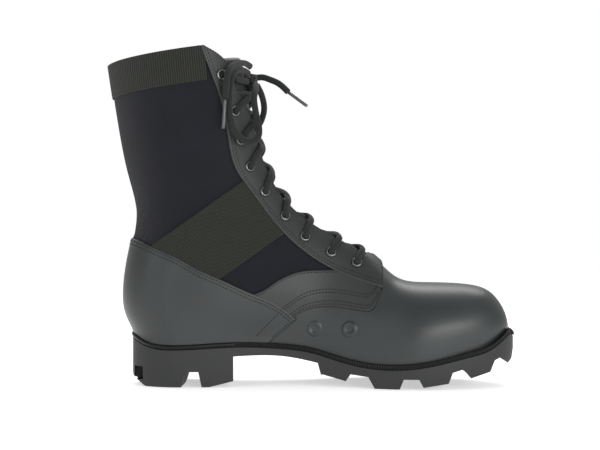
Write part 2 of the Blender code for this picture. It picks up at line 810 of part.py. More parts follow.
def folded_face(section, fold):
    """Outer face across the ridge: fold is negative on the medial side, and its square a share."""
    section, fold = np.broadcast_arrays(section, fold)
    medial = upper_face(section, fold ** 2, "medial")
    lateral = upper_face(section, fold ** 2, "lateral")
    return np.where((fold < 0)[..., None], medial, lateral)


def upper(skin):
    """The hollow shell of vamp, quarters and shaft."""
    solid("upper", *skin.thick(-WALL, 0), "canvas")


def share_of_height(points):
    """Share of the upper's height at each point."""
    return (points[:, 2] - SOLE_HEIGHT) / UPPER_HEIGHT


def ahead_of_eyestay_edge(points):
    """Distance of points ahead of the eyestay's rear edge."""
    return points[:, 0] - place(EYESTAY_EDGE.read("along", share_of_height(points)))


def above_quarter_edge(points):
    """Distance of points above the heel quarter's top edge."""
    return points[:, 2] - level(QUARTER_EDGE.read("up", along(points[:, 0])))


def ahead_of_quarter_front(points):
    """Distance of points ahead of the heel quarter's slanted front edge."""
    slant = QUARTER_FRONT["slant"] * share_of_height(points)
    return points[:, 0] - place(QUARTER_FRONT["along"] + slant)


def above_rim(points):
    """Distance of points above the sole's top edge."""
    return points[:, 2] - feather_height(points[:, 0])


def on_side(side):
    """Field that is positive on one side of the boot, clear of the ridge and the back."""
    return lambda points: points[:, 1] * SIDES[side] - SEAM_GAP


def inside(field, gap=SEAM_GAP):
    """Field of the points behind or under a boundary, less a gap."""
    return lambda points: -field(points) - gap


def beyond(field, gap=SEAM_GAP):
    """Field of the points ahead of or above a boundary, less a gap."""
    return lambda points: field(points) - gap


def panel(name, skin, thickness, finish_name, fields):
    """A panel laid on the upper where every field is positive."""
    for field in fields:
        skin = skin.kept(field)
    solid(name, *skin.thick(GAP, GAP + thickness), finish_name)


def panels(skin):
    """Eyestays, heel quarter, saddles, collar band and ankle straps, each laid beside the next."""
    collar_front = place(SECTIONS.columns["ridge_x"][-1])
    collar_back = place(BACK.columns["along"][-1])

    def above_band_edge(points):
        forward = (points[:, 0] - collar_back) / (collar_front - collar_back)
        return points[:, 2] - (level(1) - COLLAR_DROP * (1 - forward) - BAND_WIDTH)

    def beside_strap_line(points):
        sideways = (points[:, 0] - place(STRAP_POINT["along"])) * np.sin(STRAP_SLOPE)
        return (points[:, 2] - level(STRAP_POINT["up"])) * np.cos(STRAP_SLOPE) - sideways

    def above_saddle_low(points):
        return points[:, 2] - level(SADDLE_EDGES.read("low", along(points[:, 0])))

    def above_saddle_top(points):
        return points[:, 2] - level(SADDLE_EDGES.read("top", along(points[:, 0])))

    def ahead_of_front(points):
        return points[:, 0] - place(EYESTAY_FRONT)

    behind_eyestay = inside(ahead_of_eyestay_edge)
    panel("collar_band", skin, WEBBING, "webbing", [behind_eyestay, above_band_edge])
    panel("heel_quarter", skin, QUARTER, "leather",
          [beyond(above_rim, QUARTER), inside(above_quarter_edge, 0), inside(ahead_of_quarter_front, 0)])
    for side in SIDES:
        half = skin.kept(on_side(side))
        panel(f"eyestay_{side}", half, FACING, "facing",
              [ahead_of_eyestay_edge, inside(ahead_of_front, 0)])
        panel(f"saddle_{side}", half, SADDLE, "leather",
              [behind_eyestay, beyond(above_saddle_low, 0), inside(above_saddle_top, 0),
               inside(ahead_of_front, 0), beyond(above_quarter_edge)])
        panel(f"ankle_strap_{side}", half, WEBBING, "webbing",
              [behind_eyestay, beyond(above_quarter_edge),
               lambda points: STRAP_WIDTH / 2 - beside_strap_line(points),
               lambda points: STRAP_WIDTH / 2 + beside_strap_line(points)])


def seat(section, share, side, offset):
    """Point at an offset over the upper's outer face, with the face's outward normal."""
    step = 0.01
    point, later, lower = (upper_face(section + ahead, share + down, side)
                           for ahead, down in ((0, 0), (step, 0), (0, step)))
    normal = np.cross(lower - point, later - point) * SIDES[side]
    normal /= np.linalg.norm(normal)
    return point + normal * offset, normal


def ring_solid(name, centre, normal, radius, bore, thickness, finish_name):
    """Flat ring on a seat, with its thickness along the normal; without a bore it is a disc."""
    first = np.cross(normal, [0, 0, 1])
    first /= np.linalg.norm(first)
    second = np.cross(normal, first)
    turn = 2 * np.pi * np.arange(EYELET_FACETS) / EYELET_FACETS
    around = np.outer(np.cos(turn), first) + np.outer(np.sin(turn), second)
    low, high = centre, centre + normal * thickness
    rings = [low + around * radius, high + around * radius]
    if bore:
        rings += [high + around * bore, low + around * bore]
    corners = np.concatenate(rings)
    count = EYELET_FACETS
    faces = []
    for ring in range(len(rings) if bore else 1):
        following = (ring + 1) % len(rings)
        faces += [(ring * count + i, ring * count + (i + 1) % count,
                   following * count + (i + 1) % count, following * count + i)
                  for i in range(count)]
    if not bore:
        faces += [tuple(range(count)), tuple(range(count, 2 * count))]
    solid(name, corners, faces, finish_name)


def eyelets():
    """Nine eyelets on each eyestay, and two vents at the arch."""
    on_facing = GAP + FACING + LOOSE_GAP
    for pair, section, share in zip(*EYELETS.columns.values()):
        for side in SIDES:
            ring_solid(f"eyelet_{side}_{int(pair)}", *seat(section, share, side, on_facing),
                       EYELET_RADIUS, EYELET_BORE, EYELET_HEIGHT, "black_metal")
    for number, (section, share) in enumerate(VENTS, 1):
        ring_solid(f"vent_{number}", *seat(section, share, "medial", VENT_GAP),
                   VENT_RADIUS, EYELET_BORE, EYELET_HEIGHT, "leather")


def smooth_path(points, spacing):
    """Points at about a spacing on a smooth curve through a route."""
    points = np.asarray(points, float)
    knots = np.concatenate([[0], np.cumsum(np.linalg.norm(np.diff(points, axis=0), axis=1))])
    route = Chart(("run", "x", "y", "z"), *np.column_stack([knots, points]))
    at = np.linspace(0, knots[-1], max(int(round(knots[-1] / spacing)), 2) + 1)
    return np.column_stack([route.read(name, at) for name in "xyz"])


def tube(name, points, radius, facets, finish_name=None):
    """Round bar along a path, with flat ends square to it."""
    points = np.asarray(points, float)
    lead = np.gradient(points, axis=0)
    lead /= np.linalg.norm(lead, axis=1)[:, None]
    turn = 2 * np.pi * np.arange(facets) / facets
    first = np.cross(lead, np.cross(lead[len(lead) // 2], [0.0, 1.0, 0.3]))
    first /= np.linalg.norm(first, axis=1)[:, None]
    second = np.cross(lead, first)
    rings = [point + radius * (np.outer(np.cos(turn), u) + np.outer(np.sin(turn), v))
             for point, u, v in zip(points, first, second)]
    corners, faces = stack(rings, False, False)
    last = len(corners) - facets
    faces += [tuple(range(facets)), tuple(range(last, last + facets))]
    return solid(name, corners, faces, finish_name)


def lace_bar(side, pair):
    """Path of a lace from above an eyelet, over the throat's edge, to the far edge one pair up."""
    other = "lateral" if side == "medial" else "medial"
    section, share = (float(EYELETS.read(name, pair)) for name in ("section", "share"))
    above = float(EYELETS.read("section", pair - 1))
    rise = (above - section) * (CROSSING_RISE if pair > 2 else KNOT_CROSSING_RISE)
    over_eyelet = GAP * 3 + FACING + LOOSE_GAP + EYELET_HEIGHT + LACE_RADIUS
    at_edge = section + rise * EDGE_STOP
    at_ridge = section + rise * RIDGE_STOP
    at_end = section + rise
    stops = [
        seat(section, share, side, over_eyelet)[0],
        seat(at_edge, float(throat_share(at_edge)), side, over_eyelet)[0],
        seat(at_ridge, RIDGE_SHARE, side, LACE_RADIUS)[0] * [1, 0, 1],
        seat(at_end, float(throat_share(at_end)) * FAR_EDGE_SHARE, other, 0)[0],
    ]
    stops[2][1] = float(SECTIONS.read("ridge_y", at_ridge)) * BALL_WIDTH
    return smooth_path(stops, 3.5 * LACE_RADIUS)


def lace_crossings():
    """Crossed laces over the tongue: two bars joined where they cross, from pair to pair."""
    for pair in range(len(EYELETS.knots), 1, -1):
        bar = tube(f"lace_crossing_{pair}", lace_bar("medial", pair), LACE_RADIUS, 6, "cord")
        other = tube(f"lateral_bar_{pair}", lace_bar("lateral", pair), LACE_RADIUS, 6)
        joined = bar.modifiers.new("joined", "BOOLEAN")
        joined.operation = "UNION"
        joined.solver = "EXACT"
        joined.object = other


def free_laces():
    """Knot, bow loops, ends with their tips, and the laces from the top eyelets to the knot."""
    shape = bmesh.new()
    bmesh.ops.create_icosphere(shape, subdivisions=2, radius=1)
    bmesh.ops.scale(shape, vec=KNOT, verts=shape.verts)
    bmesh.ops.translate(shape, vec=np.array(KNOT_PLACE) * MM, verts=shape.verts)
    knot = new_object("lace_knot")
    shape.to_mesh(knot.data)
    shape.free()
    knot.data.materials.append(finish("cord"))
    knot.data.shade_smooth()
    for name, route in ROUTES.items():
        points = smooth_path(np.array(route) * MM, 5 * LACE_RADIUS)
        line = bpy.data.curves.new(name, "CURVE")
        line.dimensions = "3D"
        line.bevel_depth = LACE_RADIUS
        line.bevel_resolution = 2
        line.use_fill_caps = True
        spline = line.splines.new("POLY")
        spline.points.add(len(points) - 1)
        for point, place_in in zip(spline.points, points):
            point.co = (*place_in, 1)
        line.materials.append(finish("cord"))
        bpy.context.scene.collection.objects.link(bpy.data.objects.new(name, line))
    for name, ends in TIPS.items():
        tube(name, np.array(ends) * MM, TIP_RADIUS, 8, "tip")


for old in list(bpy.data.objects):
    bpy.data.objects.remove(old)

outer_skin = upper_skin()
upper(outer_skin)
outsole()
insole()
tongue()
panels(outer_skin)
eyelets()
lace_crossings()
free_laces()
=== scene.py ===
"""The dressed left jungle boot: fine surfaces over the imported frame.

Frame: metres, +Z up, toe towards +X, lateral side towards +Y, standing on z = 0.
The upper is one ruled surface of section and share, and its panels are patches of that surface.
"""
import bmesh
import bpy
import numpy as np
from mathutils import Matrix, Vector


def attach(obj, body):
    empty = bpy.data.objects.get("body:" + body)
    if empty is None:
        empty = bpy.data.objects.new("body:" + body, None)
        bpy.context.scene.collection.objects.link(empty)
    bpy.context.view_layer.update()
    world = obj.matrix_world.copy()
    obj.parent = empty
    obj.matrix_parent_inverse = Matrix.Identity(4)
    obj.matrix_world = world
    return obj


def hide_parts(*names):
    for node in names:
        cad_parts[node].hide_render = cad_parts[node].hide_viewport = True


MM = 0.001
TURN = 2 * np.pi
TINY = 1e-12

# Sole
SOLE_LENGTH = 304.5 * MM
BALL_WIDTH = 112 * MM
SOLE_HEIGHT = 33 * MM
LUG_DEPTH = 9.5 * MM
LUG_DRAFT = 2.2 * MM
SIDE_DRAFT = 0.8 * MM
HEEL_LENGTH = 80 * MM
HEEL_BEVEL_LENGTH = 13.0 * MM
HEEL_BEVEL_HEIGHT = 8.5 * MM
HEEL_BREAST_BEVEL_LENGTH = 16.5 * MM
HEEL_BREAST_BEVEL_HEIGHT = 4.0 * MM
WAIST_HEIGHT = 23.7 * MM
LEDGE = 3.6 * MM
RIM_BAND = 3.0 * MM
RIM_GROOVE = 1.2 * MM
TUCK = 4.0 * MM
HEEL_ROUND = 34 * MM
TOE_ROUND = 85 * MM
TOE_FULLNESS = 2.3

# Upper
UPPER_HEIGHT = 237.5 * MM
COLLAR_DROP = 17.0 * MM
WALL = 2.4 * MM
TONGUE_THICKNESS = 2.6 * MM

# Clearances: between pieces that touch, and of the loose tongue
GAP = 0.3 * MM
TONGUE_GAP = 1.2 * MM

# Cutters start this far under the ground
BELOW = -5 * MM

# Share of the sole's length that lies behind the origin
ORIGIN_SHARE = 0.47

SIDES = {"medial": -1.0, "lateral": 1.0}


class Chart:
    """Rows of named columns, read as smooth curves over the first column."""

    def __init__(self, columns, *rows):
        """Named columns of the rows, and how each column bends at the rows."""
        self.columns = dict(zip(columns, np.array(rows, float).T))
        self.knots = self.columns[columns[0]]
        self.bends = {name: self.bend(values) for name, values in self.columns.items()}

    def bend(self, values):
        """Second derivatives, at the rows, of the natural cubic spline through them."""
        count = len(values)
        step = np.diff(self.knots)
        rise = np.diff(values) / step
        matrix = np.eye(count)
        right = np.zeros(count)
        for row in range(1, count - 1):
            matrix[row, row - 1:row + 2] = step[row - 1], 2 * (step[row - 1] + step[row]), step[row]
            right[row] = 6 * (rise[row] - rise[row - 1])
        return np.linalg.solve(matrix, right)

    def read(self, column, at):
        """The smooth curve through a column."""
        at = np.clip(np.asarray(at, float), self.knots[0], self.knots[-1])
        row = np.clip(np.searchsorted(self.knots, at, side="right") - 1, 0, len(self.knots) - 2)
        step = self.knots[row + 1] - self.knots[row]
        near = (self.knots[row + 1] - at) / step
        far = 1 - near
        values = self.columns[column]
        bends = self.bends[column]
        curved = (near ** 3 - near) * bends[row] + (far ** 3 - far) * bends[row + 1]
        return near * values[row] + far * values[row + 1] + curved * step ** 2 / 6

    def line(self, column, at):
        """The straight runs through a column."""
        return np.interp(at, self.knots, self.columns[column])


# Sole edge from above: share of the sole's length from the heel, and shares of the ball width
PLAN = Chart(
    ("along", "centre", "medial", "lateral"),
    (0.00, 0.000, 0.335, 0.335),
    (0.12, 0.000, 0.340, 0.342),
    (0.24, 0.002, 0.318, 0.342),
    (0.36, 0.014, 0.285, 0.338),
    (0.47, 0.030, 0.305, 0.345),
    (0.57, 0.034, 0.395, 0.402),
    (0.66, 0.022, 0.475, 0.467),
    (0.74, 0.002, 0.500, 0.480),
    (0.84, -0.030, 0.470, 0.455),
    (1.00, -0.070, 0.420, 0.410),
)

# Top edge of the sole, the feather line: shares of the sole's length and of the sole's height
FEATHER = Chart(
    ("along", "height"),
    (0.000, 1.27),
    (0.050, 1.07),
    (0.115, 1.00),
    (0.270, 1.06),
    (0.400, 1.01),
    (0.470, 0.92),
    (0.550, 0.71),
    (0.650, 0.567),
    (0.760, 0.64),
    (0.870, 0.862),
    (0.950, 1.09),
    (1.000, 1.38),
)

# Underside of the lugs: shares of the sole's length and of the sole's height
TREAD = Chart(
    ("along", "height"),
    (0.000, 0.000),
    (0.300, 0.000),
    (0.500, 0.290),
    (0.560, 0.145),
    (0.620, -0.010),
    (0.700, -0.010),
    (0.755, 0.048),
    (0.816, 0.133),
    (0.877, 0.250),
    (0.927, 0.380),
    (0.983, 0.500),
    (1.000, 0.640),
)

# Roof of the space between heel and forefoot: shares of the sole's length and of the waist's
# height, and the foot of its front in shares of the length
ARCH_ROOF = ((0.400, 1.00), (0.487, 0.79))
ARCH_FRONT = 0.504

# Line of the back: share of the upper's height, share of the sole's length, and how far the back
# rounds over, in ball widths
BACK = Chart(
    ("up", "along", "round"),
    (0.000, 0.011, 0.304),
    (0.030, 0.011, 0.304),
    (0.088, -0.008, 0.310),
    (0.174, -0.017, 0.330),
    (0.292, -0.005, 0.360),
    (0.444, 0.012, 0.400),
    (0.579, -0.011, 0.430),
    (0.714, -0.033, 0.440),
    (0.934, -0.060, 0.450),
)

# Sections of the upper. Ridge: shares of the sole's length and of the upper's height, and its
# sideways place in ball widths. End: 0 at the toe to 1 at the heel, along the feather line, and
# 2 at the top of the back. Medial and lateral: fullness against the half width at the feather
# line. Round: share of the section that rounds over at the ridge. Dome: squareness of that round.
SECTIONS = Chart(
    ("section", "ridge_x", "ridge_z", "ridge_y", "end", "medial", "lateral", "round", "dome"),
    (0, 0.985, 0.053, -0.067, 0.000, 1.00, 1.00, 1.00, 2.60),
    (1, 0.978, 0.097, -0.067, 0.025, 1.00, 1.00, 1.00, 2.60),
    (2, 0.960, 0.141, -0.065, 0.059, 1.01, 1.01, 1.00, 2.60),
    (3, 0.921, 0.183, -0.061, 0.106, 1.02, 1.02, 1.00, 2.60),
    (4, 0.849, 0.199, -0.055, 0.170, 1.03, 1.03, 1.00, 2.60),
    (5, 0.771, 0.202, -0.047, 0.240, 1.03, 1.03, 1.00, 2.50),
    (6, 0.699, 0.217, -0.040, 0.320, 1.02, 1.02, 1.00, 2.30),
    (7, 0.640, 0.280, -0.032, 0.408, 1.04, 1.01, 1.00, 2.10),
    (8, 0.581, 0.330, -0.022, 0.508, 1.14, 1.02, 1.00, 1.95),
    (9, 0.512, 0.381, -0.014, 0.650, 1.24, 1.08, 0.95, 1.90),
    (10, 0.447, 0.443, -0.007, 0.810, 1.13, 1.10, 0.80, 1.90),
    (11, 0.398, 0.512, -0.002, 0.938, 1.09, 1.10, 0.65, 1.95),
    (12, 0.365, 0.585, 0.000, 1.000, 1.08, 1.08, 0.55, 2.00),
    (13, 0.342, 0.661, 0.000, 1.180, 1.08, 1.08, 0.50, 2.00),
    (14, 0.329, 0.733, 0.000, 1.358, 1.12, 1.12, 0.48, 2.00),
    (15, 0.317, 0.817, 0.000, 1.546, 1.22, 1.22, 0.48, 2.00),
    (16, 0.306, 0.909, 0.000, 1.765, 1.32, 1.32, 0.48, 2.00),
    (17, 0.292, 1.000, 0.000, 2.000, 1.38, 1.38, 0.48, 2.00),
)
HEEL_SECTION = 12.0
TOP_SECTION = 17.0

# Edge of the throat: the share of each section that is open beside the ridge
THROAT = Chart(
    ("section", "share"),
    (7.15, 0.000),
    (7.35, 0.022),
    (8.00, 0.040),
    (10.0, 0.040),
    (12.0, 0.030),
    (14.0, 0.040),
    (15.0, 0.070),
    (16.0, 0.130),
    (16.6, 0.170),
    (17.0, 0.280),
)
THROAT_FOOT = float(THROAT.knots[0])

# Tongue: its first and last section, and its half width as a share of the shaft's
TONGUE_FOOT = 6.6
TONGUE_TOP = 16.55
TONGUE_REACH = 0.45

# Thickness of the panels laid on the upper
FACING = 2.0 * MM
QUARTER = 1.8 * MM
SADDLE = 1.5 * MM
WEBBING = 1.3 * MM

# Webbing: width of the collar band, and width, slope and one centre point of the ankle strap
BAND_WIDTH = 27.0 * MM
STRAP_WIDTH = 52.3 * MM
STRAP_SLOPE = np.radians(35.5)
STRAP_POINT = {"along": 0.264, "up": 0.3757}

# Rear edge of the eyestay: shares of the upper's height and of the sole's length
EYESTAY_EDGE = Chart(
    ("up", "along"),
    (0.150, 0.760),
    (0.191, 0.634),
    (0.234, 0.542),
    (0.298, 0.457),
    (0.388, 0.382),
    (0.496, 0.318),
    (0.568, 0.278),
    (0.669, 0.256),
    (0.798, 0.238),
    (0.883, 0.214),
    (1.000, 0.180),
)
EYESTAY_FRONT = 0.652

# Top edge of the heel quarter: shares of the sole's length and of the upper's height
QUARTER_EDGE = Chart(
    ("along", "up"),
    (-0.05, 0.352),
    (0.006, 0.349),
    (0.071, 0.320),
    (0.130, 0.286),
    (0.177, 0.253),
    (0.242, 0.215),
    (0.314, 0.173),
    (0.381, 0.135),
    (0.428, 0.090),
    (0.500, 0.000),
)

# Edges of the saddle beside the instep: share of the length, and shares of the height
SADDLE_EDGES = Chart(
    ("along", "low", "top"),
    (0.320, 0.010, 0.166),
    (0.351, 0.030, 0.183),
    (0.379, 0.050, 0.207),
    (0.412, 0.077, 0.229),
    (0.443, 0.104, 0.241),
    (0.484, 0.121, 0.245),
    (0.527, 0.124, 0.245),
    (0.567, 0.119, 0.245),
    (0.605, 0.111, 0.245),
    (0.628, 0.120, 0.245),
    (0.650, 0.175, 0.245),
)

# Eyelets from the top pair down: section, and share of the section from the ridge
EYELETS = Chart(
    ("pair", "section", "share"),
    (1, 16.12, 0.198),
    (2, 14.96, 0.152),
    (3, 13.94, 0.140),
    (4, 12.72, 0.108),
    (5, 11.56, 0.092),
    (6, 10.34, 0.098),
    (7, 9.46, 0.140),
    (8, 8.58, 0.162),
    (9, 7.70, 0.150),
)
EYELET_RADIUS = 4.6 * MM
EYELET_BORE = 2.6 * MM
# Two painted vent eyelets at the arch, medial side: section, and share from the ridge
VENTS = ((8.24, 0.826), (7.42, 0.732))

# Radius of the lace tips
TIP_RADIUS = 1.2 * MM

# Places of the knot and of the free laces, in millimetres, as given
KNOT_PLACE = (-48.0, 0.0, 243.0)
ROUTES = {
    "lace_loop_medial": (
        (-49.5, -9.0, 247.0), (-53.5, -19.5, 248.5), (-58.5, -31.0, 246.5), (-62.3, -38.3, 238.0),
        (-63.3, -40.0, 225.0), (-63.0, -40.0, 212.0), (-60.0, -39.5, 201.0), (-54.0, -38.5, 193.5),
        (-47.0, -36.0, 191.0), (-42.0, -33.0, 194.0), (-40.5, -30.0, 201.0), (-42.0, -30.0, 209.0),
        (-43.5, -30.5, 216.5), (-44.5, -30.5, 224.5), (-43.5, -23.5, 233.0), (-44.5, -9.5, 239.0),
    ),
    "lace_loop_lateral": (
        (-49.5, 9.0, 247.0), (-52.5, 18.0, 248.5), (-57.0, 29.6, 246.5), (-61.0, 37.6, 239.0),
        (-63.0, 40.5, 228.0), (-61.8, 40.5, 217.0), (-57.5, 40.0, 207.5), (-51.0, 37.0, 204.0),
        (-44.5, 33.0, 206.5), (-39.8, 28.0, 213.6), (-38.0, 24.0, 220.6), (-38.7, 19.0, 228.3),
        (-41.0, 14.0, 235.0), (-43.5, 9.8, 239.5),
    ),
    "lace_end_lateral": (
        (-43.2, 1.5, 244.8), (-38.2, 0.8, 244.9), (-34.2, -0.5, 243.6), (-26.1, -4.0, 239.8),
        (-18.1, -8.0, 232.4),
    ),
    "lace_end_medial": (
        (-48.0, -8.5, 252.5), (-52.0, -19.0, 254.0), (-58.5, -32.0, 252.0), (-64.0, -42.0, 245.5),
        (-65.5, -44.0, 235.0), (-66.4, -44.0, 224.5),
    ),
    "lace_top_medial": ((-50.4, -9.8, 240.5), (-53.1, -15.4, 240.5), (-59.6, -25.6, 241.5)),
    "lace_top_lateral": ((-50.4, 9.8, 240.5), (-53.1, 15.4, 240.5), (-59.6, 25.6, 241.5)),
}
TIPS = {
    "lace_tip_lateral": ((-17.5, -8.3, 231.9), (-3.1, -14.0, 220.8)),
    "lace_tip_medial": ((-66.5, -44.0, 223.9), (-67.9, -43.5, 201.0)),
}


def along(x):
    """Share of the sole's length at x."""
    return np.asarray(x, float) / SOLE_LENGTH + ORIGIN_SHARE


def place(share):
    """The x of a share of the sole's length."""
    return (np.asarray(share, float) - ORIGIN_SHARE) * SOLE_LENGTH


def level(share):
    """The z of a share of the upper's height."""
    return SOLE_HEIGHT + np.asarray(share, float) * UPPER_HEIGHT


def rounding(distance, reach, power=2.0):
    """Superellipse that rises from 0 at an end to 1 at its reach."""
    left = 1 - np.clip(np.asarray(distance, float) / reach, 0, 1)
    return (1 - left ** power) ** (1 / power)


def eased(value):
    """Smooth step from 0 to 1."""
    value = np.clip(value, 0, 1)
    return value ** 2 * (3 - 2 * value)


SOLE_TOE = float(place(1.0))
SOLE_HEEL = float(place(0.0))
UPPER_TOE = float(place(SECTIONS.columns["ridge_x"][0]))
UPPER_HEEL = float(place(BACK.columns["along"][0]))


def feather_height(x):
    """Height of the sole's top edge."""
    return FEATHER.read("height", along(x)) * SOLE_HEIGHT


def tread_height(x):
    """Height of the underside of the lugs."""
    return np.maximum(TREAD.line("height", along(x)) * SOLE_HEIGHT, 0)


def back_line(z):
    """The x of the back of the upper, and the distance over which the back rounds."""
    up = (np.asarray(z, float) - SOLE_HEIGHT) / UPPER_HEIGHT
    return place(BACK.read("along", up)), BACK.read("round", up) * BALL_WIDTH


def centre_line(x):
    """The y half way between the medial and lateral widths."""
    return PLAN.read("centre", along(x)) * BALL_WIDTH


def half_width(x, side, margin, toe):
    """Half width of a level of the sole or the upper, less a margin, closed at its toe only."""
    full = PLAN.read(side, along(x)) * BALL_WIDTH - margin
    return full * rounding(toe - x, TOE_ROUND, TOE_FULLNESS)


def section_end(end):
    """Low end of a section: along the feather line to the heel, then up the back."""
    x_feather = UPPER_TOE + (UPPER_HEEL - UPPER_TOE) * np.clip(end, 0, 1)
    heel_top = feather_height(UPPER_HEEL)
    collar_back = level(1.0) - COLLAR_DROP
    z_back = heel_top + (collar_back - heel_top) * np.clip(end - 1, 0, 1)
    on_feather = np.asarray(end) <= 1
    x = np.where(on_feather, x_feather, back_line(z_back)[0])
    return x, np.where(on_feather, feather_height(x_feather), z_back), x_feather


def upper_face(section, share, side):
    """Outer face of the upper, from the ridge (share 0) to the low end of a section (share 1)."""
    section, share = np.broadcast_arrays(np.asarray(section, float), np.asarray(share, float))
    end_x, end_z, feather_x = section_end(SECTIONS.read("end", section))
    x = place(SECTIONS.read("ridge_x", section)) * (1 - share) + end_x * share
    z = level(SECTIONS.read("ridge_z", section)) * (1 - share) + end_z * share
    ridge_y = SECTIONS.read("ridge_y", section) * BALL_WIDTH
    middle = ridge_y * (1 - share) + centre_line(feather_x) * share
    lift = eased((1 - share) * 2)
    lift = 1 - (1 - lift) * (1 - eased(section - HEEL_SECTION))
    fullness = 1 + (SECTIONS.read(side, section) - 1) * lift
    reach = np.minimum(SECTIONS.read("round", section), 1)
    left = 1 - np.clip(share / reach, 0, 1)
    over_ridge = np.sqrt(1 - left ** SECTIONS.read("dome", section))
    back_x, back_reach = back_line(z)
    half = half_width(feather_x, side, LEDGE, UPPER_TOE) * fullness
    half = half * over_ridge * rounding(x - back_x, back_reach)
    return np.stack([x, middle + SIDES[side] * half, z], axis=-1)


def throat_share(section):
    """Share of a section that the throat leaves open."""
    opened = np.clip(THROAT.read("share", section), 0, 1)
    return np.where(np.asarray(section) <= THROAT_FOOT, 0.0, opened)



# Fine grids: rows and columns of a side of the upper, and steps of two searches for a section
UPPER_ROWS = 240
UPPER_COLUMNS = 64
INVERSE_STEPS = 1401
STEPS = np.linspace(0, TOP_SECTION, 681)

# Panels: radius of their rolled edges, and how far their back lies under the clearance
EDGE_ROLL = 1.3 * MM
THIN_ROLL = 0.8 * MM
SUNK = -0.35 * MM

# Stitches: pitch, radius, and half a bead's length and its width against the radius
STITCH_PITCH = 2.5 * MM
STITCH_RADIUS = 0.38 * MM
STITCH_HALF = 0.38
STITCH_WIDTH = 1.15

# Flat lace, and the ribs of the webbing
LACE_WIDTH = 5.0 * MM
LACE_DEPTH = 3.2 * MM
RIB_PITCH = 1.75 * MM

# Camera: size of a picture unit at the boot's middle, picture's width in units, distance and place
PICTURE_STEP = 0.802 * MM
PICTURE_WIDTH = 600
SENSOR = 36.0
CAMERA_AWAY = 1200 * MM
CAMERA_X = -8.6 * MM
CAMERA_Z = 126.5 * MM


def ruling_of(x, z):
    """Section and share of side-view points, from the section whose ruling passes through each.

    A ruling is the straight line from the ridge to a section's low end. Between the two steps where
    the point changes sides of the ruling, the section follows from the two distances in proportion.
    Points that no ruling crosses lie over the collar and take the top section.
    """
    x, z = (np.atleast_1d(np.asarray(value, float)) for value in (x, z))
    steps = np.linspace(0, TOP_SECTION, INVERSE_STEPS)
    ridge_x = place(SECTIONS.read("ridge_x", steps))
    ridge_z = level(SECTIONS.read("ridge_z", steps))
    end_x, end_z, _ = section_end(SECTIONS.read("end", steps))
    lead_x, lead_z = end_x - ridge_x, end_z - ridge_z
    off = (x[:, None] - ridge_x) * lead_z - (z[:, None] - ridge_z) * lead_x
    last = off > 0
    crossing = last[:, :-1] != last[:, 1:]
    share = ((x[:, None] - ridge_x) * lead_x + (z[:, None] - ridge_z) * lead_z)
    share = share / (lead_x ** 2 + lead_z ** 2)
    near = np.where(crossing, np.abs(share[:, :-1] - 0.5), np.inf)
    first = np.argmin(near, axis=1)
    rows = np.arange(len(x))
    low, high = off[rows, first], off[rows, first + 1]
    part_way = np.where(low != high, low / np.where(low != high, low - high, 1), 0)
    part_way = np.clip(part_way, 0, 1)
    section = steps[first] + part_way * (steps[1] - steps[0])
    between = share[rows, first] * (1 - part_way) + share[rows, first + 1] * part_way
    beyond = ~crossing.any(axis=1)
    section = np.where(beyond, TOP_SECTION, section)
    between = np.where(beyond, share[:, -1], between)
    return section, np.clip(between, 0, 1)


def curve_through(points, count):
    """Evenly spaced points on the natural cubic spline through a list of points."""
    points = np.asarray(points, float)
    run = np.concatenate([[0], np.cumsum(np.linalg.norm(np.diff(points, axis=0), axis=1))])
    names = "xyz"[:points.shape[1]]
    chart = Chart(("run", *names), *np.column_stack([run, points]))
    at = np.linspace(0, run[-1], count)
    return np.column_stack([chart.read(name, at) for name in names])


def normals_of(grid):
    """Unit normals of a grid of points: the cross product of its two differences."""
    along_rows = np.gradient(grid, axis=0)
    along_columns = np.gradient(grid, axis=1)
    normal = np.cross(along_rows, along_columns)
    length = np.linalg.norm(normal, axis=-1, keepdims=True)
    return normal / np.maximum(length, TINY)


def outward(grid, side):
    """Normals of a grid of the upper, turned away from the middle of the foot."""
    normal = normals_of(grid)
    return normal * np.sign(np.sum(normal[..., 1] * SIDES[side]))


def grid_faces(rows, columns, closed=False):
    """Quads of a grid, closed round its columns if asked."""
    row, column = np.meshgrid(np.arange(rows - 1), np.arange(columns - (not closed)), indexing="ij")
    ahead = (column + 1) % columns
    corners = [row * columns + column, row * columns + ahead,
               (row + 1) * columns + ahead, (row + 1) * columns + column]
    return np.stack([corner.ravel() for corner in corners], axis=1)


def loop_faces(rows, columns):
    """Quads of a grid closed both ways."""
    row, column = np.meshgrid(np.arange(rows), np.arange(columns), indexing="ij")
    ahead_row, ahead = (row + 1) % rows, (column + 1) % columns
    corners = [row * columns + column, row * columns + ahead,
               ahead_row * columns + ahead, ahead_row * columns + column]
    return np.stack([corner.ravel() for corner in corners], axis=1)


def border_of(rows, columns):
    """Indices of the border of a grid, in order."""
    index = np.arange(rows * columns).reshape(rows, columns)
    return np.concatenate([index[0, :-1], index[:-1, -1], index[-1, :0:-1], index[:0:-1, 0]])


def slab(outer, inner):
    """Points and faces of two equal grids, back to back and joined round their border."""
    rows, columns = outer.shape[:2]
    count = rows * columns
    faces = grid_faces(rows, columns)
    ring = border_of(rows, columns)
    ahead = np.roll(ring, -1)
    walls = np.stack([ring, ahead, ahead + count, ring + count], axis=1)
    points = np.concatenate([outer.reshape(-1, 3), inner.reshape(-1, 3)])
    return points, np.concatenate([faces, faces[:, ::-1] + count, walls])


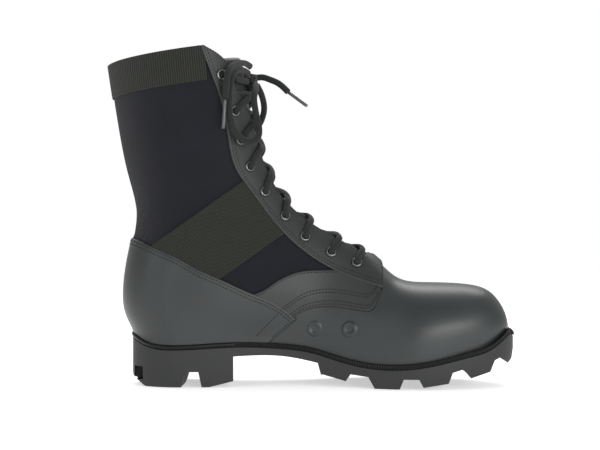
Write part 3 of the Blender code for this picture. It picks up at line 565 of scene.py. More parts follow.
def mesh_piece(name, points, faces, material, merge=0.02 * MM, recalc=True, uv=None):
    """A mesh object from arrays, with doubles merged and faces turned outwards."""
    mesh = bpy.data.meshes.new(name)
    mesh.from_pydata(np.asarray(points, float).tolist(), [], [tuple(map(int, face)) for face in faces])
    if uv is not None:
        layer = mesh.uv_layers.new(name="UVMap")
        corners = np.empty(len(mesh.loops), int)
        mesh.loops.foreach_get("vertex_index", corners)
        layer.data.foreach_set("uv", np.asarray(uv, float)[corners].ravel())
    shape = bmesh.new()
    shape.from_mesh(mesh)
    if merge:
        bmesh.ops.remove_doubles(shape, verts=shape.verts, dist=merge)
    if recalc:
        bmesh.ops.recalc_face_normals(shape, faces=shape.faces)
    shape.to_mesh(mesh)
    shape.free()
    mesh.materials.append(material)
    mesh.shade_smooth()
    thing = bpy.data.objects.new(name, mesh)
    bpy.context.scene.collection.objects.link(thing)
    return thing


def settle(thing, slot, *replaced):
    """Ride a finished piece on the boot, and hide the solids that it stands for; the slot is not used."""
    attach(thing, "root")
    if replaced:
        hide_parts(*replaced)
    return thing


def run_along(grid, axis):
    """Length along the rows or columns of a grid from its first line."""
    step = np.linalg.norm(np.diff(grid, axis=axis), axis=-1)
    start = np.zeros_like(np.take(step, [0], axis=axis))
    return np.concatenate([start, np.cumsum(step, axis=axis)], axis=axis)


def rolled(distance, roll):
    """Height share of a rolled edge: a quarter circle from 0 at the edge to 1 at the roll."""
    return np.sqrt(np.clip(1 - (1 - np.clip(distance / roll, 0, 1)) ** 2, 0, 1))


def spread_columns(count, power=1.7):
    """Shares from 0 to 1 that crowd at both ends."""
    even = np.linspace(-1, 1, count)
    return (np.sign(even) * (1 - (1 - np.abs(even)) ** power) + 1) / 2


class Patch:
    """A panel's grid on the upper, between an inner and an outer line.

    A line is an array of side-view points, or a pair of sections and shares. Between the lines,
    section and share change in proportion, the share by its square root where root is set.
    """

    def __init__(self, side, inner, outer, rows, columns, root=True):
        """Grid, normals and lengths of the panel, with its rows and columns crowded at the edges."""
        rows_at = spread_columns(rows, 1.25)
        power = 0.5 if root else 1.0
        lines = []
        for line in (inner, outer):
            section, share = line if isinstance(line, tuple) else ruling_of(line[:, 0], line[:, 1])
            at = np.linspace(0, 1, len(section))
            lines.append([np.interp(rows_at, at, section), np.interp(rows_at, at, share) ** power])
        across = spread_columns(columns)[None, :]
        self.section = lines[0][0][:, None] * (1 - across) + lines[1][0][:, None] * across
        fold = lines[0][1][:, None] * (1 - across) + lines[1][1][:, None] * across
        self.share = fold ** (1 / power)
        self.base = upper_face(self.section, self.share, side)
        self.normal = outward(self.base, side)
        self.down = run_along(self.base, 0)
        self.across = run_along(self.base, 1)

    def edge_distance(self, free):
        """Distance of each point from the nearest free edge: first, last, inner or outer."""
        distances = {
            "first": self.down, "last": self.down[-1:] - self.down,
            "inner": self.across, "outer": self.across[:, -1:] - self.across,
        }
        return np.minimum.reduce([distances[name] for name in free])

    def closed(self, thickness, distance, roll=EDGE_ROLL):
        """Points, faces and lengths of the panel with its flat back.

        The outer face is lifted along the normals by a thickness that rolls down to the back over
        the distance from the free edges.
        """
        rise = SUNK + (thickness - SUNK) * rolled(distance, roll)
        top = self.base + self.normal * (GAP + rise)[..., None]
        back = self.base + self.normal * (GAP + SUNK)
        lengths = np.stack([self.down.ravel(), self.across.ravel()], axis=1)
        return *slab(top, back), np.tile(lengths, (2, 1))

    def line(self, edge, inset, lift):
        """Points and normals of a line that runs at an inset from an edge, lifted off the base."""
        grid, normal, lengths = self.base, self.normal, self.across
        if edge in ("first", "last"):
            grid, normal = grid.transpose(1, 0, 2), normal.transpose(1, 0, 2)
            lengths = self.down.T
        if edge in ("outer", "last"):
            lengths = lengths[:, -1:] - lengths
            grid, normal, lengths = grid[:, ::-1], normal[:, ::-1], lengths[:, ::-1]
        column = np.clip(np.argmax(lengths >= inset, axis=1), 1, None)
        rows = np.arange(len(grid))
        near, far = lengths[rows, column - 1], lengths[rows, column]
        part_way = ((inset - near) / np.maximum(far - near, TINY))[:, None].clip(0, 1)
        point = grid[rows, column - 1] * (1 - part_way) + grid[rows, column] * part_way
        facing = normal[rows, column - 1] * (1 - part_way) + normal[rows, column] * part_way
        return point + facing * lift, facing


# Rows of stitches noted while the panels are made: middles, directions and normals
STITCHES = []


def stitch_row(points, normals, trim=0.0, pitch=STITCH_PITCH):
    """Note one row of stitches: short beads along a line, sunk by half, one at every pitch."""
    run = run_along(points[:, None], 0)[:, 0]
    start, stop = trim, run[-1] - trim
    count = int((stop - start) / pitch)
    if count < 2:
        return
    at = start + (np.arange(count) + 0.5) * (stop - start) / count
    middle = np.column_stack([np.interp(at, run, points[:, axis]) for axis in range(3)])
    ahead = np.column_stack([np.interp(at + 0.3 * pitch, run, points[:, axis]) for axis in range(3)])
    facing = np.column_stack([np.interp(at, run, normals[:, axis]) for axis in range(3)])
    STITCHES.append((middle, ahead - middle, facing))


def stitches(material):
    """All stitches as one piece: ellipsoid beads, laid along their rows."""
    middle, lead, facing = (np.concatenate([row[i] for row in STITCHES]) for i in range(3))
    lead /= np.linalg.norm(lead, axis=1)[:, None]
    facing -= lead * np.sum(facing * lead, axis=1)[:, None]
    facing /= np.linalg.norm(facing, axis=1)[:, None]
    beside = np.cross(lead, facing)
    rings, facets = 5, 6
    at = np.linspace(-1, 1, rings)
    swell = np.sqrt(np.clip(1 - at ** 2, 0.02, 1)) * STITCH_RADIUS
    turn = TURN * np.arange(facets) / facets
    local = np.stack([np.repeat(at * STITCH_PITCH * STITCH_HALF, facets),
                      np.outer(swell, np.cos(turn)).ravel() * STITCH_WIDTH,
                      np.outer(swell, np.sin(turn)).ravel()], axis=1)
    points = (middle[:, None] + local[None, :, :1] * lead[:, None]
              + local[None, :, 1:2] * beside[:, None] + local[None, :, 2:] * facing[:, None])
    faces = grid_faces(rings, facets, closed=True)
    per = rings * facets
    all_faces = (faces[None] + (np.arange(len(middle)) * per)[:, None, None]).reshape(-1, 4).tolist()
    caps = [list(range(facets))[::-1], list(range(per - facets, per))]
    for start in range(0, len(middle) * per, per):
        all_faces += [[start + corner for corner in cap] for cap in caps]
    return settle(mesh_piece("stitching", points.reshape(-1, 3), all_faces, material, merge=0,
                             recalc=False), "cord")


def effect(name, build):
    """A shader node group with named sockets, built once."""
    group = bpy.data.node_groups.new(name, "ShaderNodeTree")
    build(group)
    return group


def socket(group, name, kind, value=None, out=False):
    """One named input or output of an effect."""
    made = group.interface.new_socket(name=name, in_out="OUTPUT" if out else "INPUT", socket_type=kind)
    if value is not None:
        made.default_value = value
    return made


class Nodes:
    """Short way to add and join nodes in a tree."""

    def __init__(self, tree):
        """Keep the tree that the nodes are added to."""
        self.tree = tree

    def add(self, kind, **settings):
        """A node with its settings."""
        node = self.tree.nodes.new(kind)
        for name, value in settings.items():
            setattr(node, name, value)
        return node

    def join(self, source, target):
        """A link from an output to an input."""
        self.tree.links.new(source, target)

    def math(self, operation, first, second=None):
        """Result of a math node on two links or numbers."""
        node = self.add("ShaderNodeMath", operation=operation)
        for place_in, value in enumerate((first, second)):
            if value is None:
                continue
            if isinstance(value, (int, float)):
                node.inputs[place_in].default_value = value
            else:
                self.join(value, node.inputs[place_in])
        return node.outputs[0]

    def noise(self, vector, scale, detail=4.0, roughness=0.55):
        """Noise value at a vector."""
        node = self.add("ShaderNodeTexNoise")
        node.inputs["Scale"].default_value = scale
        node.inputs["Detail"].default_value = detail
        node.inputs["Roughness"].default_value = roughness
        self.join(vector, node.inputs["Vector"])
        return node.outputs[0]

    def ramp(self, value, low, high):
        """A value mapped from low and high to 0 and 1, clamped."""
        node = self.add("ShaderNodeMapRange")
        node.inputs["From Min"].default_value = low
        node.inputs["From Max"].default_value = high
        self.join(value, node.inputs["Value"])
        return node.outputs[0]


def build_grain(group):
    """Leather grain: cell edges of two sizes plus fine noise, and a slow mask for wear."""
    socket(group, "Scale", "NodeSocketFloat", 900.0)
    socket(group, "Height", "NodeSocketFloat", out=True)
    socket(group, "Mottle", "NodeSocketFloat", out=True)
    nodes = Nodes(group)
    inside = nodes.add("NodeGroupInput")
    outside = nodes.add("NodeGroupOutput")
    where = nodes.add("ShaderNodeTexCoord").outputs["Object"]
    cells = nodes.add("ShaderNodeTexVoronoi", feature="DISTANCE_TO_EDGE")
    nodes.join(where, cells.inputs["Vector"])
    nodes.join(inside.outputs["Scale"], cells.inputs["Scale"])
    fine = nodes.noise(where, 1600.0, 3.0)
    slow = nodes.noise(where, 28.0, 5.0)
    pores = nodes.ramp(cells.outputs["Distance"], 0.0, 0.18)
    height = nodes.math("ADD", nodes.math("MULTIPLY", pores, 0.7), nodes.math("MULTIPLY", fine, 0.45))
    nodes.join(height, outside.inputs["Height"])
    nodes.join(nodes.ramp(slow, 0.35, 0.72), outside.inputs["Mottle"])


def build_weave(group):
    """Woven cloth on the piece's own lengths: crossed waves of a pitch, with slubs and a slow mask."""
    socket(group, "Pitch", "NodeSocketFloat", 0.0007)
    socket(group, "Height", "NodeSocketFloat", out=True)
    socket(group, "Slub", "NodeSocketFloat", out=True)
    nodes = Nodes(group)
    inside = nodes.add("NodeGroupInput")
    outside = nodes.add("NodeGroupOutput")
    uv = nodes.add("ShaderNodeSeparateXYZ")
    nodes.join(nodes.add("ShaderNodeTexCoord").outputs["UV"], uv.inputs[0])
    waves = []
    for axis in (0, 1):
        turns = nodes.math("DIVIDE", uv.outputs[axis], inside.outputs["Pitch"])
        waves.append(nodes.math("SINE", nodes.math("MULTIPLY", turns, TURN)))
    height = nodes.math("MULTIPLY", waves[0], waves[1])
    where = nodes.add("ShaderNodeTexCoord").outputs["Object"]
    slub = nodes.noise(where, 420.0, 6.0, 0.7)
    nodes.join(nodes.math("ADD", nodes.math("MULTIPLY", height, 0.5), slub), outside.inputs["Height"])
    nodes.join(nodes.noise(where, 55.0, 6.0, 0.65), outside.inputs["Slub"])


# Pitch of the fine cross thread in the webbing
THREAD_PITCH = 0.9 * MM


def build_ribs(group):
    """Ribbed webbing: a rounded wave across the piece's first length, with a cross thread, and a crest mask
    for painted shade in the troughs.
    """
    socket(group, "Pitch", "NodeSocketFloat", RIB_PITCH)
    socket(group, "Height", "NodeSocketFloat", out=True)
    socket(group, "RibShade", "NodeSocketFloat", out=True)
    nodes = Nodes(group)
    inside = nodes.add("NodeGroupInput")
    outside = nodes.add("NodeGroupOutput")
    uv = nodes.add("ShaderNodeSeparateXYZ")
    nodes.join(nodes.add("ShaderNodeTexCoord").outputs["UV"], uv.inputs[0])
    turns = nodes.math("DIVIDE", uv.outputs[0], inside.outputs["Pitch"])
    wave = nodes.math("SINE", nodes.math("MULTIPLY", turns, TURN))
    # The crest wave doubles as a mask of painted shade: dark in the rib troughs, light on the crests.
    crest = nodes.math("MULTIPLY", nodes.math("ADD", wave, 1.0), 0.5)
    thread = nodes.math("SINE", nodes.math("MULTIPLY", uv.outputs[1], TURN / THREAD_PITCH))
    height = nodes.math("ADD", crest, nodes.math("MULTIPLY", thread, 0.12))
    nodes.join(height, outside.inputs["Height"])
    nodes.join(crest, outside.inputs["RibShade"])


EFFECTS = {}


def effects():
    """Build the shared effects once."""
    EFFECTS["grain"] = effect("leather_grain", build_grain)
    EFFECTS["weave"] = effect("cloth_weave", build_weave)
    EFFECTS["ribs"] = effect("webbing_ribs", build_ribs)


def finished(name, effect_name, setting, low, high, rough, bump, coat=0.0, coat_rough=0.3,
             mask="Mottle", specular=0.5, metallic=0.0, sheen=0.0):
    """Principled material whose colour and roughness run between two values by an effect's mask."""
    material = bpy.data.materials.new(name)
    material.use_nodes = True
    nodes = Nodes(material.node_tree)
    shader = material.node_tree.nodes["Principled BSDF"]
    shader.inputs["Specular IOR Level"].default_value = specular
    shader.inputs["Metallic"].default_value = metallic
    shader.inputs["Coat Weight"].default_value = coat
    shader.inputs["Coat Roughness"].default_value = coat_rough
    shader.inputs["Sheen Weight"].default_value = sheen
    pattern = nodes.add("ShaderNodeGroup")
    pattern.node_tree = EFFECTS[effect_name]
    pattern.inputs[0].default_value = setting
    mix = nodes.add("ShaderNodeMix", data_type="RGBA")
    colours = [socket_ for socket_ in mix.inputs if socket_.type == "RGBA"]
    colours[0].default_value = (*low, 1)
    colours[1].default_value = (*high, 1)
    nodes.join(pattern.outputs[mask], mix.inputs["Factor"])
    result = [socket_ for socket_ in mix.outputs if socket_.type == "RGBA"][0]
    nodes.join(result, shader.inputs["Base Color"])
    span = nodes.add("ShaderNodeMapRange")
    span.inputs["To Min"].default_value = rough[0]
    span.inputs["To Max"].default_value = rough[1]
    nodes.join(pattern.outputs[mask], span.inputs["Value"])
    nodes.join(span.outputs[0], shader.inputs["Roughness"])
    relief = nodes.add("ShaderNodeBump")
    relief.inputs["Strength"].default_value = bump[0]
    relief.inputs["Distance"].default_value = bump[1]
    nodes.join(pattern.outputs["Height"], relief.inputs["Height"])
    nodes.join(relief.outputs["Normal"], shader.inputs["Normal"])
    return material


def materials():
    """Every finish of the boot, by name."""
    return {
        "leather": finished("vamp_leather", "grain", 1100.0, (0.014, 0.018, 0.018), (0.020, 0.025, 0.025),
                            (0.40, 0.48), (0.12, 0.00025), coat=0.22, coat_rough=0.30),
        "facing": finished("facing_leather", "grain", 1100.0, (0.013, 0.016, 0.0145), (0.019, 0.022, 0.020),
                           (0.46, 0.56), (0.15, 0.00025), coat=0.10, coat_rough=0.35),
        "canvas": finished("canvas_cloth", "weave", 0.0007,
                           (0.0065, 0.0070, 0.0105), (0.0120, 0.0125, 0.0175), (0.88, 0.96),
                           (0.55, 0.0004), mask="Slub", specular=0.2, sheen=0.12),
        # Painted shade: through the crest mask the colour runs from near black in the rib troughs to ten
        # times lighter on the crests.
        "webbing": finished("webbing_cloth", "ribs", RIB_PITCH,
                            (0.0030, 0.0035, 0.0025), (0.0300, 0.0335, 0.0245), (0.72, 0.84),
                            (0.9, 0.0006), mask="RibShade", specular=0.3, sheen=0.08),
        "rubber": finished("sole_rubber", "grain", 500.0, (0.017, 0.018, 0.0175), (0.023, 0.024, 0.0235),
                           (0.58, 0.66), (0.08, 0.0002), specular=0.45),
        "rim": finished("rim_rubber", "grain", 500.0, (0.004, 0.0045, 0.0045), (0.007, 0.0075, 0.0075),
                        (0.34, 0.42), (0.05, 0.0002), specular=0.22),
        "lining": finished("lining_cloth", "grain", 700.0, (0.018, 0.019, 0.020), (0.026, 0.027, 0.028),
                           (0.85, 0.92), (0.3, 0.0003), specular=0.25),
        "thread": finished("thread", "grain", 2500.0, (0.005, 0.006, 0.005), (0.009, 0.010, 0.009),
                           (0.55, 0.65), (0.3, 0.0001), specular=0.4),
        "lace": finished("lace_weave", "weave", 0.0011, (0.005, 0.0065, 0.0055), (0.015, 0.0185, 0.0160),
                         (0.72, 0.82), (0.9, 0.0004), mask="Slub", specular=0.35, sheen=0.1),
        "enamel": finished("black_enamel", "grain", 900.0, (0.010, 0.011, 0.011), (0.016, 0.017, 0.017),
                           (0.20, 0.34), (0.1, 0.0001), coat=0.4, coat_rough=0.15),
        # Painted glint: a light grey metal for the thin ring at each eyelet's inner lip, in place of the
        # rim's glint.
        "glint_metal": finished("glint_metal", "grain", 900.0, (0.30, 0.31, 0.30), (0.45, 0.46, 0.45),
                               (0.18, 0.30), (0.1, 0.0001), metallic=1.0),
        "tip": finished("tip_plastic", "grain", 900.0, (0.045, 0.050, 0.047), (0.070, 0.076, 0.072),
                        (0.28, 0.36), (0.1, 0.0001), coat=0.3, coat_rough=0.2),
    }


# Troughs and ridges: two ends in side view, width and depth in millimetres; a ridge is negative
CREASES = (
    ((52, 84), (36, 66), 5.0, 0.9),
    ((64, 80), (52, 62), 5.5, 0.7),
    ((-100, 120), (-62, 132), 9.0, 1.2),
    ((-118, 138), (-84, 150), 10.0, 1.0),
    ((-112, 224), (-96, 190), 11.0, 1.1),
    ((-78, 226), (-88, 180), 10.0, -0.9),
    ((-128, 205), (-112, 165), 10.0, -0.8),
    ((-100, 160), (-70, 168), 9.0, -0.7),
)

# A crease fades along its line as a part of half a sine: where it starts, and how far it goes
CREASE_FADE = (0.15, 0.70)

# Where canvas takes over from leather: shares of the length and of the height
CLOTH_FRONT = 0.55
CLOTH_ABOVE = 0.30
CLOTH_BEHIND = 0.36

# Two axes that tell the inner faces from the outer: one up the shaft between two places in x, in
# what is above a share of the height, and one along the foot at a height
SHAFT_AXIS = (-112.7 * MM, -90 * MM)
SHAFT_ABOVE = 0.32
FOOT_AXIS_Z = 45 * MM

# Share of the tuck by which the shell goes down inside the sole
SHELL_TUCK = 0.8


def upper_grid(side, rows, columns):
    """Outer face of one side of the upper, from ridge or throat edge to the feather line."""
    section = np.linspace(0, TOP_SECTION, rows)[:, None]
    start = throat_share(section)
    return upper_face(section, start + (1 - start) * edge_shares(columns), side)


def crease_depth(points):
    """Depth of the creases at points: a bell across each crease's line, of its width and depth."""
    depth = np.zeros(points.shape[:-1])
    for start, end, width, deep in CREASES:
        start, end = np.array(start) * MM, np.array(end) * MM
        lead = end - start
        flat = points[..., [0, 2]] - start
        part_way = np.clip(flat @ lead / (lead @ lead), 0, 1)
        away = np.linalg.norm(flat - part_way[..., None] * lead, axis=-1)
        fade = np.sin(np.pi * (CREASE_FADE[0] + CREASE_FADE[1] * part_way))
        depth += deep * MM * np.exp(-(away / (width * MM)) ** 2) * fade
    return depth


def upper_shell(finishes):
    """The upper as one smooth hollow shell: leather in front and below, canvas behind and above.

    Each side's outer face goes down inside the sole and sinks along its normals by the creases. The
    inner face lies a wall's thickness further in, and rims close the throat and the collar.
    """
    points, faces, uvs = [], [], []
    start = 0
    closed = np.linspace(0, TOP_SECTION, UPPER_ROWS) <= THROAT_FOOT
    for side in SIDES:
        outer = upper_grid(side, UPPER_ROWS, UPPER_COLUMNS)
        tucked = outer[:, -1:] - [0, 0, TUCK * SHELL_TUCK]
        outer = np.concatenate([outer, tucked], axis=1)
        normal = outward(outer, side)
        normal[:, -1] = normal[:, -2]
        normal[closed, 0] *= [1, 0, 1]
        normal[closed, 0] /= np.linalg.norm(normal[closed, 0], axis=1)[:, None]
        outer = outer - normal * crease_depth(outer)[..., None]
        inner = outer - normal * WALL
        rows, columns = outer.shape[:2]
        count = rows * columns
        grid = grid_faces(rows, columns)
        edge = np.arange(rows) * columns
        throat_rim = np.stack([edge[:-1], edge[1:], edge[1:] + count, edge[:-1] + count], axis=1)
        top = (rows - 1) * columns + np.arange(columns)
        collar_rim = np.stack([top[:-1], top[1:], top[1:] + count, top[:-1] + count], axis=1)
        throat_rim = throat_rim[~closed[:-1]]
        faces.append(np.concatenate([grid, grid[:, ::-1] + count, throat_rim, collar_rim]) + start)
        points.append(np.concatenate([outer.reshape(-1, 3), inner.reshape(-1, 3)]))
        lengths = np.stack([run_along(outer, 0).ravel(), run_along(outer, 1).ravel()], axis=1)
        uvs.append(np.tile(lengths, (2, 1)))
        start += 2 * count
    shell = mesh_piece("upper_shell", np.concatenate(points), np.concatenate(faces),
                       finishes["leather"], merge=0.05 * MM, uv=np.concatenate(uvs))
    shell.data.materials.append(finishes["canvas"])
    shell.data.materials.append(finishes["lining"])
    count = len(shell.data.polygons)
    middle = np.empty(count * 3)
    normal = np.empty(count * 3)
    shell.data.polygons.foreach_get("center", middle)
    shell.data.polygons.foreach_get("normal", normal)
    middle, normal = middle.reshape(-1, 3), normal.reshape(-1, 3)
    share = along(middle[:, 0])
    up = (middle[:, 2] - SOLE_HEIGHT) / UPPER_HEIGHT
    saddle_middle = (SADDLE_EDGES.read("low", share) + SADDLE_EDGES.read("top", share)) / 2
    cloth = (up > saddle_middle) & (share < CLOTH_FRONT) | (up > CLOTH_ABOVE) | (share < CLOTH_BEHIND)
    shaft_axis = np.stack([np.clip(middle[:, 0], *SHAFT_AXIS), np.zeros(count), middle[:, 2]], axis=1)
    foot_axis = np.stack([middle[:, 0], centre_line(middle[:, 0]), np.full(count, FOOT_AXIS_Z)], axis=1)
    away = np.where(up[:, None] > SHAFT_ABOVE, middle - shaft_axis, middle - foot_axis)
    facing_in = np.sum(away * normal, axis=1) < 0
    kind = np.where(facing_in, 2, np.where(cloth, 1, 0)).astype(np.int32)
    shell.data.polygons.foreach_set("material_index", kind)
    shell.data.update()
    return settle(shell, "canvas", "upper")


def edge_points(chart, up_column, shares):
    """Side-view points of an edge chart that gives a share of height for a share of length."""
    return np.stack([place(shares), level(chart.read(up_column, shares))], axis=1)


# Eyestays: rows of their lines, lowest share of the height, the part of the rows that lies in front
# of the throat, how far the facing keeps off its edge, and how far the stitches stop short of it
EYESTAY_ROWS = 160
EYESTAY_LOW = 0.178
EYESTAY_NOSE = 0.06
EYESTAY_KEEP = 0.985
EYESTAY_JOINED = 0.05
EYESTAY_SEWN = 0.1


def eyestay_lines():
    """Inner and outer lines of an eyestay, from its front end to the collar, as section and share."""
    up = np.linspace(EYESTAY_LOW, 1.0, EYESTAY_ROWS)
    outer_x = np.minimum(place(EYESTAY_EDGE.read("along", up)), place(EYESTAY_FRONT))
    outer_section, outer_share = ruling_of(outer_x, level(up))
    ridge_x = place(SECTIONS.read("ridge_x", STEPS))
    front = float(np.interp(place(EYESTAY_FRONT), ridge_x[::-1], STEPS[::-1]))
    inner_section = np.interp(np.linspace(0, 1, EYESTAY_ROWS), [0, EYESTAY_NOSE, 1],
                              [front, THROAT_FOOT + 0.02, TOP_SECTION])
    outer_section = np.where(outer_section > TOP_SECTION - 0.02, TOP_SECTION, outer_section)
    outer_section[-1] = TOP_SECTION
    return (inner_section, throat_share(inner_section) * EYESTAY_KEEP), (outer_section, outer_share)


def eyestays(finishes):
    """Leather facings from the vamp to the collar, with a double and two single rows of stitches.

    In front of the throat the two facings meet at the ridge, and there their edge isn't rolled.
    """
    for side in SIDES:
        patch = Patch(side, *eyestay_lines(), 220, 40)
        distance = patch.edge_distance(("first", "outer", "last"))
        joined = patch.section[:, :1] < THROAT_FOOT + EYESTAY_JOINED
        distance = np.minimum(distance, np.where(joined, np.inf, patch.across))
        points, faces, lengths = patch.closed(FACING, distance)
        piece = mesh_piece(f"eyestay_{side}_facing", points, faces, finishes["facing"], uv=lengths)
        settle(piece, "facing", f"eyestay_{side}")
        lift = GAP + FACING
        for inset in (2.6 * MM, 5.2 * MM):
            stitch_row(*patch.line("outer", inset, lift), trim=4 * MM)
        line, facing = patch.line("inner", 2.2 * MM, lift)
        sewn = patch.section[:, 0] > THROAT_FOOT + EYESTAY_SEWN
        stitch_row(line[sewn], facing[sewn], trim=2 * MM)
        stitch_row(*patch.line("first", 2.0 * MM, lift), trim=3 * MM)


# Heel quarter: ends of its top edge and front end of its foot in shares of the length, and its top
# at the heel in shares of the height
QUARTER_TOP = (-0.012, 0.434)
QUARTER_FOOT = 0.361
QUARTER_BACK = 0.349
QUARTER_ROWS = 170

# Halves of a piece are joined where their points lie this close
JOINED = 0.12 * MM


def quarter(finishes):
    """Leather heel quarter round the back, both sides in one, with double rows above and in front."""
    points, faces, lengths = [], [], []
    start = 0
    share = np.linspace(0.0, 1.0, QUARTER_ROWS)
    top = edge_points(QUARTER_EDGE, "up", QUARTER_TOP[0] + (QUARTER_TOP[1] - QUARTER_TOP[0]) * share)
    heel_top = feather_height(UPPER_HEEL)
    back_end = 1 + (level(QUARTER_BACK) - heel_top) / (level(1.0) - COLLAR_DROP - heel_top)
    ends = SECTIONS.read("end", STEPS)
    foot_x = UPPER_HEEL + (float(place(QUARTER_FOOT)) - UPPER_HEEL) * share
    foot_section = np.interp((UPPER_TOE - foot_x) / (UPPER_TOE - UPPER_HEEL), ends, STEPS)
    foot_section = np.minimum(foot_section, HEEL_SECTION)
    for side in SIDES:
        section, low_share = ruling_of(top[:, 0], top[:, 1])
        section[0], low_share[0] = np.interp(back_end, ends, STEPS), 1.0
        patch = Patch(side, (section, low_share), (foot_section, np.ones(QUARTER_ROWS)),
                      QUARTER_ROWS, 60, root=False)
        distance = patch.edge_distance(("inner", "last"))
        half_points, half_faces, half_lengths = patch.closed(QUARTER, distance)
        points.append(half_points)
        faces.append(half_faces + start)
        lengths.append(half_lengths)
        start += len(half_points)
        lift = GAP + QUARTER
        for inset in (2.4 * MM, 4.8 * MM):
            stitch_row(*patch.line("inner", inset, lift), trim=0.5 * MM)
        for inset in (2.4 * MM, 14.0 * MM):
            stitch_row(*patch.line("last", inset, lift), trim=6 * MM)
    piece = mesh_piece("heel_quarter_leather", np.concatenate(points), np.concatenate(faces),
                       finishes["leather"], merge=JOINED, uv=np.concatenate(lengths))
    return settle(piece, "leather", "heel_quarter")


# Ends of the saddle in shares of the length
SADDLE_REACH = (0.318, 0.650)


def saddles(finishes):
    """Leather saddles beside the instep: four rows along the low edge, one above, one in front."""
    for side in SIDES:
        shares = np.linspace(*SADDLE_REACH, 130)
        lines = [edge_points(SADDLE_EDGES, edge, shares) for edge in ("top", "low")]
        patch = Patch(side, *lines, 130, 40, root=False)
        distance = patch.edge_distance(("outer", "inner", "last"))
        points, faces, lengths = patch.closed(SADDLE, distance, roll=1.0 * MM)
        piece = mesh_piece(f"saddle_{side}_leather", points, faces, finishes["facing"], uv=lengths)
        settle(piece, "leather", f"saddle_{side}")
        lift = GAP + SADDLE
        for inset in (2.2 * MM, 4.6 * MM, 11.2 * MM, 13.6 * MM):
            stitch_row(*patch.line("outer", inset, lift), trim=5 * MM)
        for edge in ("inner", "last"):
            stitch_row(*patch.line(edge, 2.2 * MM, lift), trim=3 * MM)


# How far the webbing keeps from the throat's edge under the facings, in shares of a section
THROAT_MARGIN = 0.04

# Ankle strap: how far it is drawn from its centre point, and what is kept, in shares of the length
STRAP_REACH = (-88 * MM, 62 * MM)
STRAP_WITHIN = (0.03, 0.47)

# Collar band: where it comes out from under the facing, as a share of the top section, how much its
# front end leans forward at its foot, and the share from which it ends on the back line
COLLAR_START = 0.272
COLLAR_LEAN = 3 * MM
COLLAR_END = 0.999


def webbings(finishes):
    """Ribbed webbing: a strap across each ankle, under the facing, the saddle and the quarter."""
    for side in SIDES:
        half = STRAP_WIDTH / 2
        lead = np.array([np.cos(STRAP_SLOPE), np.sin(STRAP_SLOPE)])
        up = np.array([-np.sin(STRAP_SLOPE), np.cos(STRAP_SLOPE)])
        middle = np.array([float(place(STRAP_POINT["along"])), float(level(STRAP_POINT["up"]))])
        reach = np.linspace(*STRAP_REACH, 120)[:, None]
        inner = middle + reach * lead + half * up
        outer = middle + reach * lead - half * up
        inside = (along(inner[:, 0]) > STRAP_WITHIN[0]) & (along(outer[:, 0]) < STRAP_WITHIN[1])
        lines = []
        for line in (inner[inside], outer[inside]):
            section, share = ruling_of(line[:, 0], line[:, 1])
            lines.append((section, np.maximum(share, throat_share(section) + THROAT_MARGIN)))
        patch = Patch(side, *lines, 100, 40, root=False)
        patch.down = (patch.base[..., [0, 2]] - middle) @ lead
        distance = patch.edge_distance(("inner", "outer"))
        points, faces, lengths = patch.closed(WEBBING, distance, THIN_ROLL)
        piece = mesh_piece(f"ankle_strap_{side}_webbing", points, faces, finishes["webbing"], uv=lengths)
        settle(piece, "webbing", f"ankle_strap_{side}")


def collar_band(finishes):
    """Ribbed band round the collar, laid on the top strip of the upper, both sides in one."""
    points, faces, lengths = [], [], []
    start = 0
    for side in SIDES:
        share = np.linspace(COLLAR_START, 1.0, 140)
        top = np.full(len(share), TOP_SECTION)
        edge = upper_face(top, share, side)
        low, low_share = ruling_of(edge[:, 0] + COLLAR_LEAN * (1 - share), edge[:, 2] - BAND_WIDTH)
        low_share = np.where(share > COLLAR_END, 1.0, np.maximum(low_share, share))
        patch = Patch(side, (top, share), (low, low_share), len(share), 30, root=False)
        distance = patch.edge_distance(("inner", "outer"))
        half_points, half_faces, half_lengths = patch.closed(WEBBING, distance, THIN_ROLL)
        points.append(half_points)
        faces.append(half_faces + start)
        lengths.append(half_lengths)
        start += len(half_points)
    piece = mesh_piece("collar_band_webbing", np.concatenate(points), np.concatenate(faces),
                       finishes["webbing"], merge=JOINED, uv=np.concatenate(lengths))
    return settle(piece, "webbing", "collar_band")


# Tongue's rounded top: how far past its last section it would close, over how many sections, and how
# square it is; and the radius of its soft edge
TONGUE_PAST = 0.12
TONGUE_ROUND = 0.9
TONGUE_SQUARENESS = 4.0
TONGUE_PUFF = 2.5 * MM


def tongue(finishes):
    """Tongue behind the throat: a sheet across the ridge whose top closes in a squarish arc.

    Its shares grow with the square of the place across, from the ridge to both sides, and its two
    faces close towards each other near its edges as quarter circles.
    """
    sections = np.linspace(TONGUE_FOOT, TONGUE_TOP, 120)
    closing = rounding(TONGUE_TOP - sections + TONGUE_PAST, TONGUE_ROUND, TONGUE_SQUARENESS)
    fold = np.linspace(-1, 1, 41)[None, :] * (TONGUE_REACH * closing)[:, None]
    section, fold = np.broadcast_arrays(sections[:, None], fold)
    medial, lateral = (upper_face(section, fold ** 2, side) for side in SIDES)
    sheet = np.where((fold < 0)[..., None], medial, lateral)
    normal = normals_of(sheet)
    normal *= np.sign(np.sum(normal[..., 0]))
    from_edges = [run_along(sheet, 1), run_along(sheet[:, ::-1], 1)[:, ::-1],
                  run_along(sheet[::-1], 0)[::-1]]
    thinner = TONGUE_THICKNESS / 2 * (1 - rolled(np.minimum.reduce(from_edges), TONGUE_PUFF))
    behind = WALL + TONGUE_GAP
    outer = sheet - normal * (behind + thinner)[..., None]
    inner = sheet - normal * (behind + TONGUE_THICKNESS - thinner)[..., None]
    piece = mesh_piece("tongue_leather", *slab(outer, inner), finishes["facing"])
    return settle(piece, "facing", "tongue")


